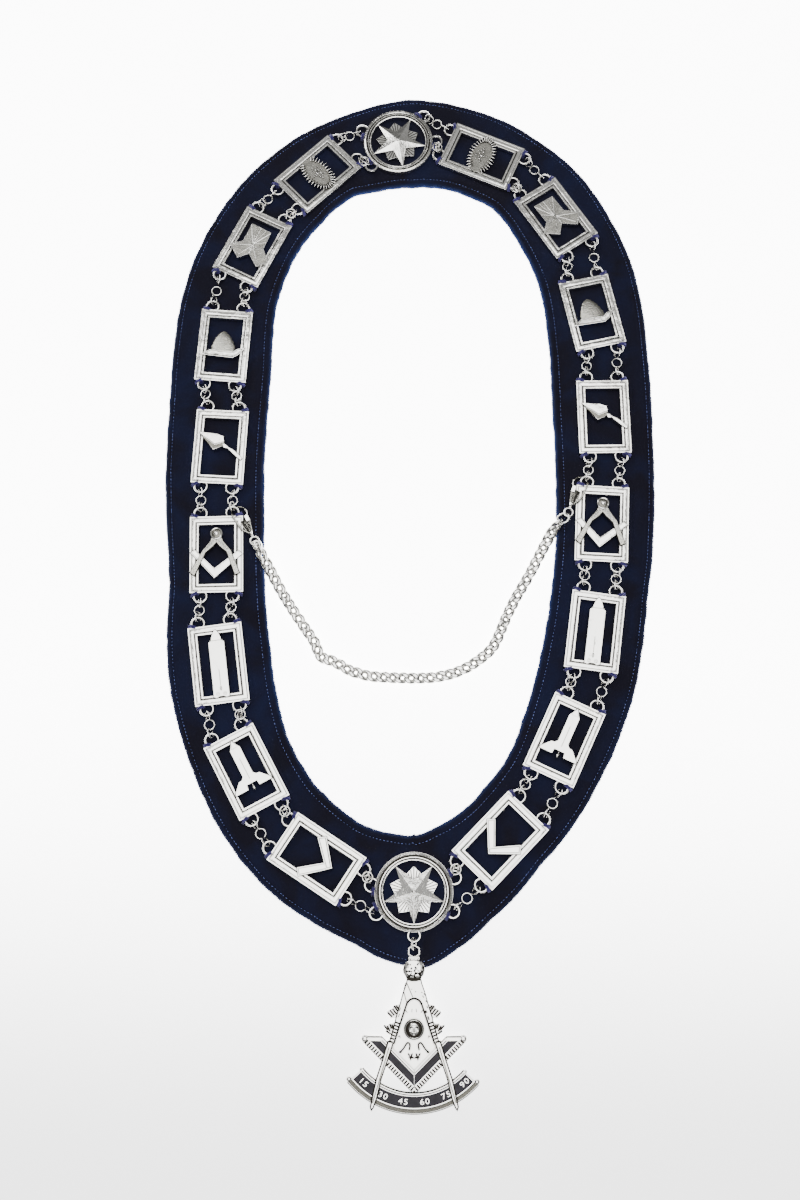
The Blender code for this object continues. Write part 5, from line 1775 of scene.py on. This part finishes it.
def stroke(start, end, width, top, finish=None, height=0.25):
    """A thin dark bar between two places of the jewel, a little above a surface: painted shade."""
    return rod(Vector(start) * MM, Vector(end) * MM, width * MM, height * MM,
               top * MM - height * MM * 0.6, finish or painted_shade, edge=0)


def dark_line(places, height, width, spacing, sides):
    """A round near-black wire through places of the jewel: painted shade along an edge or a line.
    """
    points = [Vector((x * MM, y * MM, height * MM)) for x, y in places]
    return metal(wire_through(points, width * MM, spacing * MM, sides), painted_shade)


def leg():
    """The right leg, from the head to its point, with its rungs and inner line painted dark as
    shade.
    """
    upper = plate([(-0.6, -12.4), (3.7, -12.4), (4.2, -14.6), (5.7, -18.7), (7.3, -24.4),
                   (9.3, -30.9), (10.9, -37.4), (12.6, -42.6), (12.2, -44.6), (10.0, -43.4),
                   (7.7, -36.4), (5.0, -28.4), (3.6, -24.5), (2.2, -22.5), (-0.6, -21.7)],
                  -0.9, LEG_TOP, edge=0.10, ledge=0.9, step=0.55)
    lower = plate([(13.2, -41.8), (16.1, -51.1), (19.1, -60.0), (21.1, -68.9), (22.1, -73.4),
                   (21.3, -75.6), (20.0, -73.9), (18.3, -69.4), (16.1, -60.5), (13.0, -51.5),
                   (10.0, -42.8)], -0.9, 2.0, edge=0.08, ledge=1.35, step=0.72)
    # Painted shade: a dim line between the lower bar's two rims.
    pieces = [upper, lower, stroke((12.5, -45.0), (20.6, -71.5), 0.60, 2.0, dim_shade_silver)]
    way = Vector((12.4, -44.6)) - Vector((8.2, -32.6))
    aside = Vector((-way.y, way.x)).normalized()
    for step in range(8):
        middle = Vector((8.2, -32.6)) + way * (step + 0.5) / 8
        pieces.append(stroke(middle - aside * 1.1, middle + aside * 1.1, 0.85, LEG_TOP))
    return pieces + [dark_line(INNER_EDGE, LEG_TOP - 0.05, 0.80, 0.7, 1)]


right_leg = join("leg", leg())
jewel_pieces += [right_leg, mirrored(right_leg)]
ARCH = [(-3.9, -24.4), (-2.4, -22.5), (0.0, -21.6), (2.4, -22.5), (3.9, -24.4)]
jewel_pieces.append(dark_line(ARCH, LEG_TOP, 0.95, 0.5, 2))
CHASING = [
    # the start, the end and the width of each dark line on the legs, painted shade
    ((-3.8, -13.9), (-0.7, -20.9), 0.40), ((-4.3, -14.0), (-5.3, -18.0), 0.35),
    ((-5.3, -18.0), (-3.8, -23.4), 0.35), ((4.9, -19.2), (5.5, -20.0), 0.45),
    ((3.5, -18.6), (4.2, -18.9), 0.35), ((4.2, -20.3), (4.9, -21.2), 0.40),
    ((5.9, -22.6), (6.2, -23.4), 0.45), ((6.4, -25.2), (6.7, -26.4), 0.45),
    ((0.5, -18.2), (1.0, -18.6), 0.35), ((-1.4, -17.4), (-1.0, -17.0), 0.30),
    ((5.6, -27.4), (6.3, -28.6), 0.90), ((6.8, -30.2), (7.5, -32.0), 0.70),
    ((-6.8, -26.0), (-7.4, -27.8), 0.40), ((-7.3, -29.0), (-7.9, -30.6), 0.40),
]
for start, end, width in CHASING:
    jewel_pieces.append(stroke(start, end, width, LEG_TOP))
print("leg faces:", len(right_leg.data.polygons))

# %% [markdown]
# The head is a round knob with a chased pattern, on a collar under a thick ring. Two sprigs
# of leaves stand out beside each leg. Their veins are painted dark as shade, and so are the
# head's pressed patches and a crescent under it.

# %% Head, ring and sprigs


def chased_head():
    """A round head with some of its patches pressed in and painted dark as shade, like hammered
    leaves.
    """
    deselect()
    bpy.ops.mesh.primitive_uv_sphere_add(segments=26, ring_count=18, radius=1,
                                         location=(0, -8.7 * MM, 0.3 * MM))
    head = metal(bpy.context.object, cast_silver, painted_shade)
    head.scale = (5.5 * MM, 5.2 * MM, 1.15 * MM)
    head.location = (-0.1 * MM, -8.9 * MM, 1.2 * MM)
    edit(settle(head))
    pick_faces(head, lambda middle, way: way.z > 0.35 and noise.noise(middle * 900) > 0.12
               + (middle.y + 8.7 * MM) * 55)
    bpy.ops.mesh.inset(thickness=0.10 * MM, depth=-0.25 * MM, use_individual=True)
    paint(head, 1)
    return leave_edit(head)


def sprig(outline, veins):
    """A flat leafy plate with veins painted dark as shade, and its mirror image."""
    leafy = plate(outline, -0.9, 0.6, edge=0.10, ledge=0.0, step=0.16)
    whole = join("sprig", [leafy] + [stroke(start, end, 0.85, 0.6) for start, end in veins])
    return [whole, mirrored(whole)]


hex_ring = band_ring((0, 0, 0), 3.0 * MM, 1.0 * MM, major=6, minor=10)
soften(turned(hex_ring, (0, 0, 30)), 0.5 * MM, segments=3, angle=40)
collar_block = plate([(-2.6, -4.2), (-3.0, -3.3), (-2.3, -2.6), (2.3, -2.6), (3.0, -3.3),
                      (2.6, -4.2), (1.5, -4.9), (-1.5, -4.9)], -0.9, 1.2, rim=0.5, sink=-0.3,
                     edge=0.2)
# Painted shade: a near-black crescent under the head.
under_head = plate([(-4.2, -12.4), (-2.0, -12.9), (2.0, -12.9), (3.9, -12.4), (3.2, -13.9),
                    (1.2, -14.5), (-1.4, -14.5), (-3.4, -13.9)], -0.6, 2.1, edge=0.2,
                   finish=painted_shade)
top_pieces = [hex_ring, collar_block, chased_head(), under_head]
jewel_pieces += sprig([(-6.9, -24.6), (-9.0, -25.0), (-10.2, -25.2), (-10.7, -26.6),
                       (-11.9, -27.2), (-13.5, -28.2), (-13.1, -29.6), (-12.3, -30.3),
                       (-11.8, -31.4), (-9.0, -31.2)],
                      [((-10.1, -25.3), (-8.3, -27.8)), ((-10.8, -26.7), (-8.9, -29.2)),
                       ((-12.1, -27.4), (-9.9, -29.9)), ((-13.3, -28.4), (-10.9, -30.6)),
                       ((-9.0, -25.2), (-7.9, -26.6))])
jewel_pieces += sprig([(-9.4, -33.0), (-11.0, -34.0), (-12.2, -33.9), (-13.3, -34.9),
                       (-15.2, -34.6), (-14.3, -36.0), (-14.0, -37.3), (-12.9, -37.6),
                       (-12.4, -39.0), (-11.3, -39.4)],
                      [((-15.1, -34.7), (-13.0, -37.0)), ((-13.4, -34.9), (-12.0, -37.6)),
                       ((-12.1, -34.0), (-11.4, -36.4)), ((-11.0, -34.2), (-10.5, -36.4)),
                       ((-14.0, -37.4), (-11.8, -38.9))])
print("jewel pieces so far:", len(jewel_pieces))

# %% [markdown]
# The sun's face stands on a mirror plate with an arched top. It has a thick rim, a calm brow,
# a nose, eyes, cheeks and a mouth, each a small boss. Two scrolls and ten leaves lie below.
# The face's ground, the foot of its rim, its eyes, the sides of its nose, its mouth, the scrolls
# and the leaves are near black: painted shade.

# %% Mirror plate and sun


def mirror_plate():
    right = [(0.0, -21.4), (1.7, -21.8), (3.2, -22.9), (4.6, -25.2), (5.9, -28.4), (8.9, -38.0),
             (12.2, -46.6), (12.0, -48.6), (6.3, -54.3), (0.0, -60.2)]
    left = [(-x, y) for x, y in right[1:-1]]
    return plate(right + left[::-1], -1.0, 0.55, edge=0.12)


def round_plate(x, y, radius, foot, top, finish=None, edge=0.0):
    return plate([(x + radius * math.cos(math.tau * k / 40),
                   y + radius * math.sin(math.tau * k / 40)) for k in range(40)], foot, top,
                 edge=edge, finish=finish)


def sun_face(x, y):
    top = 1.15

    def boss(dx, dy, rx, ry, rz, lift=0.0, finish=None, turn=0.0):
        bump = dome((0, 0, 0), (rx, ry, rz), 14, 8)
        turned(bump, (0, 0, turn), ((x + dx) * MM, (y + dy) * MM, (top + lift) * MM))
        return metal(bump, finish or cast_silver)

    # Painted shade: the face's ground and the foot of its rim are near black.
    face = [round_plate(x, y, 5.0, 0.2, 1.0, speckled_silver, edge=0.15),
            round_plate(x, y, 4.0, 0.8, 1.06, painted_shade),
            metal(band_ring((x * MM, y * MM, 1.2 * MM), 4.30 * MM, 1.3 * MM, squash=(1, 1, 0.5),
                            major=40, minor=10), painted_shade),
            band_ring((x * MM, y * MM, 1.4 * MM), 4.35 * MM, 0.4 * MM, major=40, minor=8),
            boss(0, 0.1, 2.9, 3.3, 0.75), boss(0, 0.0, 0.42, 1.3, 0.45, 0.62),
            boss(0, -1.05, 0.62, 0.4, 0.4, 0.6)]
    for hand in (-1, 1):
        face.append(boss(hand * 1.30, 1.75, 1.25, 0.32, 0.35, 0.55, turn=-hand * 12))
        # Painted shade: the eyes, the sides of the nose and the mouth are near black.
        face.append(boss(hand * 1.25, 1.05, 0.95, 0.36, 0.25, 0.60, painted_shade, hand * 6))
        face.append(boss(hand * 0.62, -0.10, 0.16, 0.95, 0.2, 0.68, painted_shade))
        face.append(boss(hand * 1.70, -0.65, 0.95, 0.95, 0.45, 0.35))
        face.append(boss(hand * 0.55, -2.00, 0.62, 0.24, 0.2, 0.60, painted_shade, hand * 12))
    face.append(boss(0, -2.55, 0.9, 0.32, 0.3, 0.45))
    return face


def scroll(hand):
    """A hooked ornament beside the middle line: a bent near-black wire with a bead at its end,
    both painted shade.
    """
    route = [(2.5, -46.6), (2.1, -44.6), (2.3, -43.5), (3.2, -43.0), (4.1, -43.9), (5.3, -45.8),
             (6.6, -47.2)]
    bead = dome((hand * 6.9 * MM, -47.5 * MM, 0.7 * MM), (0.75, 0.55, 0.5), 10, 6)
    return [dark_line([(hand * x, y) for x, y in route], 0.7, 0.75, 0.5, 2),
            metal(bead, painted_shade)]


jewel_pieces += [mirror_plate()] + sun_face(-0.1, -36.6)
for hand in (-1, 1):
    jewel_pieces += scroll(hand)
    for start, end, width in (((3.4, -28.6), (4.7, -26.9), 0.30),
                              ((1.2, -28.4), (1.0, -26.8), 0.25),
                              ((8.0, -40.4), (7.2, -39.6), 0.35),
                              ((7.2, -39.6), (7.0, -40.9), 0.3)):
        jewel_pieces.append(stroke((hand * start[0], start[1]), (hand * end[0], end[1]), width,
                                   0.55))
    for turn, x, y in ((20, 1.2, -48.9), (75, 1.9, -49.9), (-30, 2.6, -48.8), (110, 0.9, -50.1),
                       (0, 1.8, -50.6)):
        # Painted shade: the small leaves are near black.
        leaf = plate([(0, 1.1), (0.5, 0.1), (0, -1.1), (-0.5, 0.1)], 0.4, 0.85, edge=0.12,
                     finish=painted_shade)
        jewel_pieces.append(turned(leaf, (0, 0, hand * turn), (hand * x * MM, y * MM, 0)))

select_only(*jewel_pieces)
bpy.ops.transform.translate(value=(0, -LOWER_PIECES_SHIFT, 0))
jewel = smooth(join("jewel", top_pieces + [settle(piece) for piece in jewel_pieces]), 35,
               flats=True)
jewel.data.transform(JEWEL)
wear(jewel, None, instead_of=["pendant_jewel"])
print("jewel faces:", len(jewel.data.polygons), "materials:", len(jewel.data.materials))
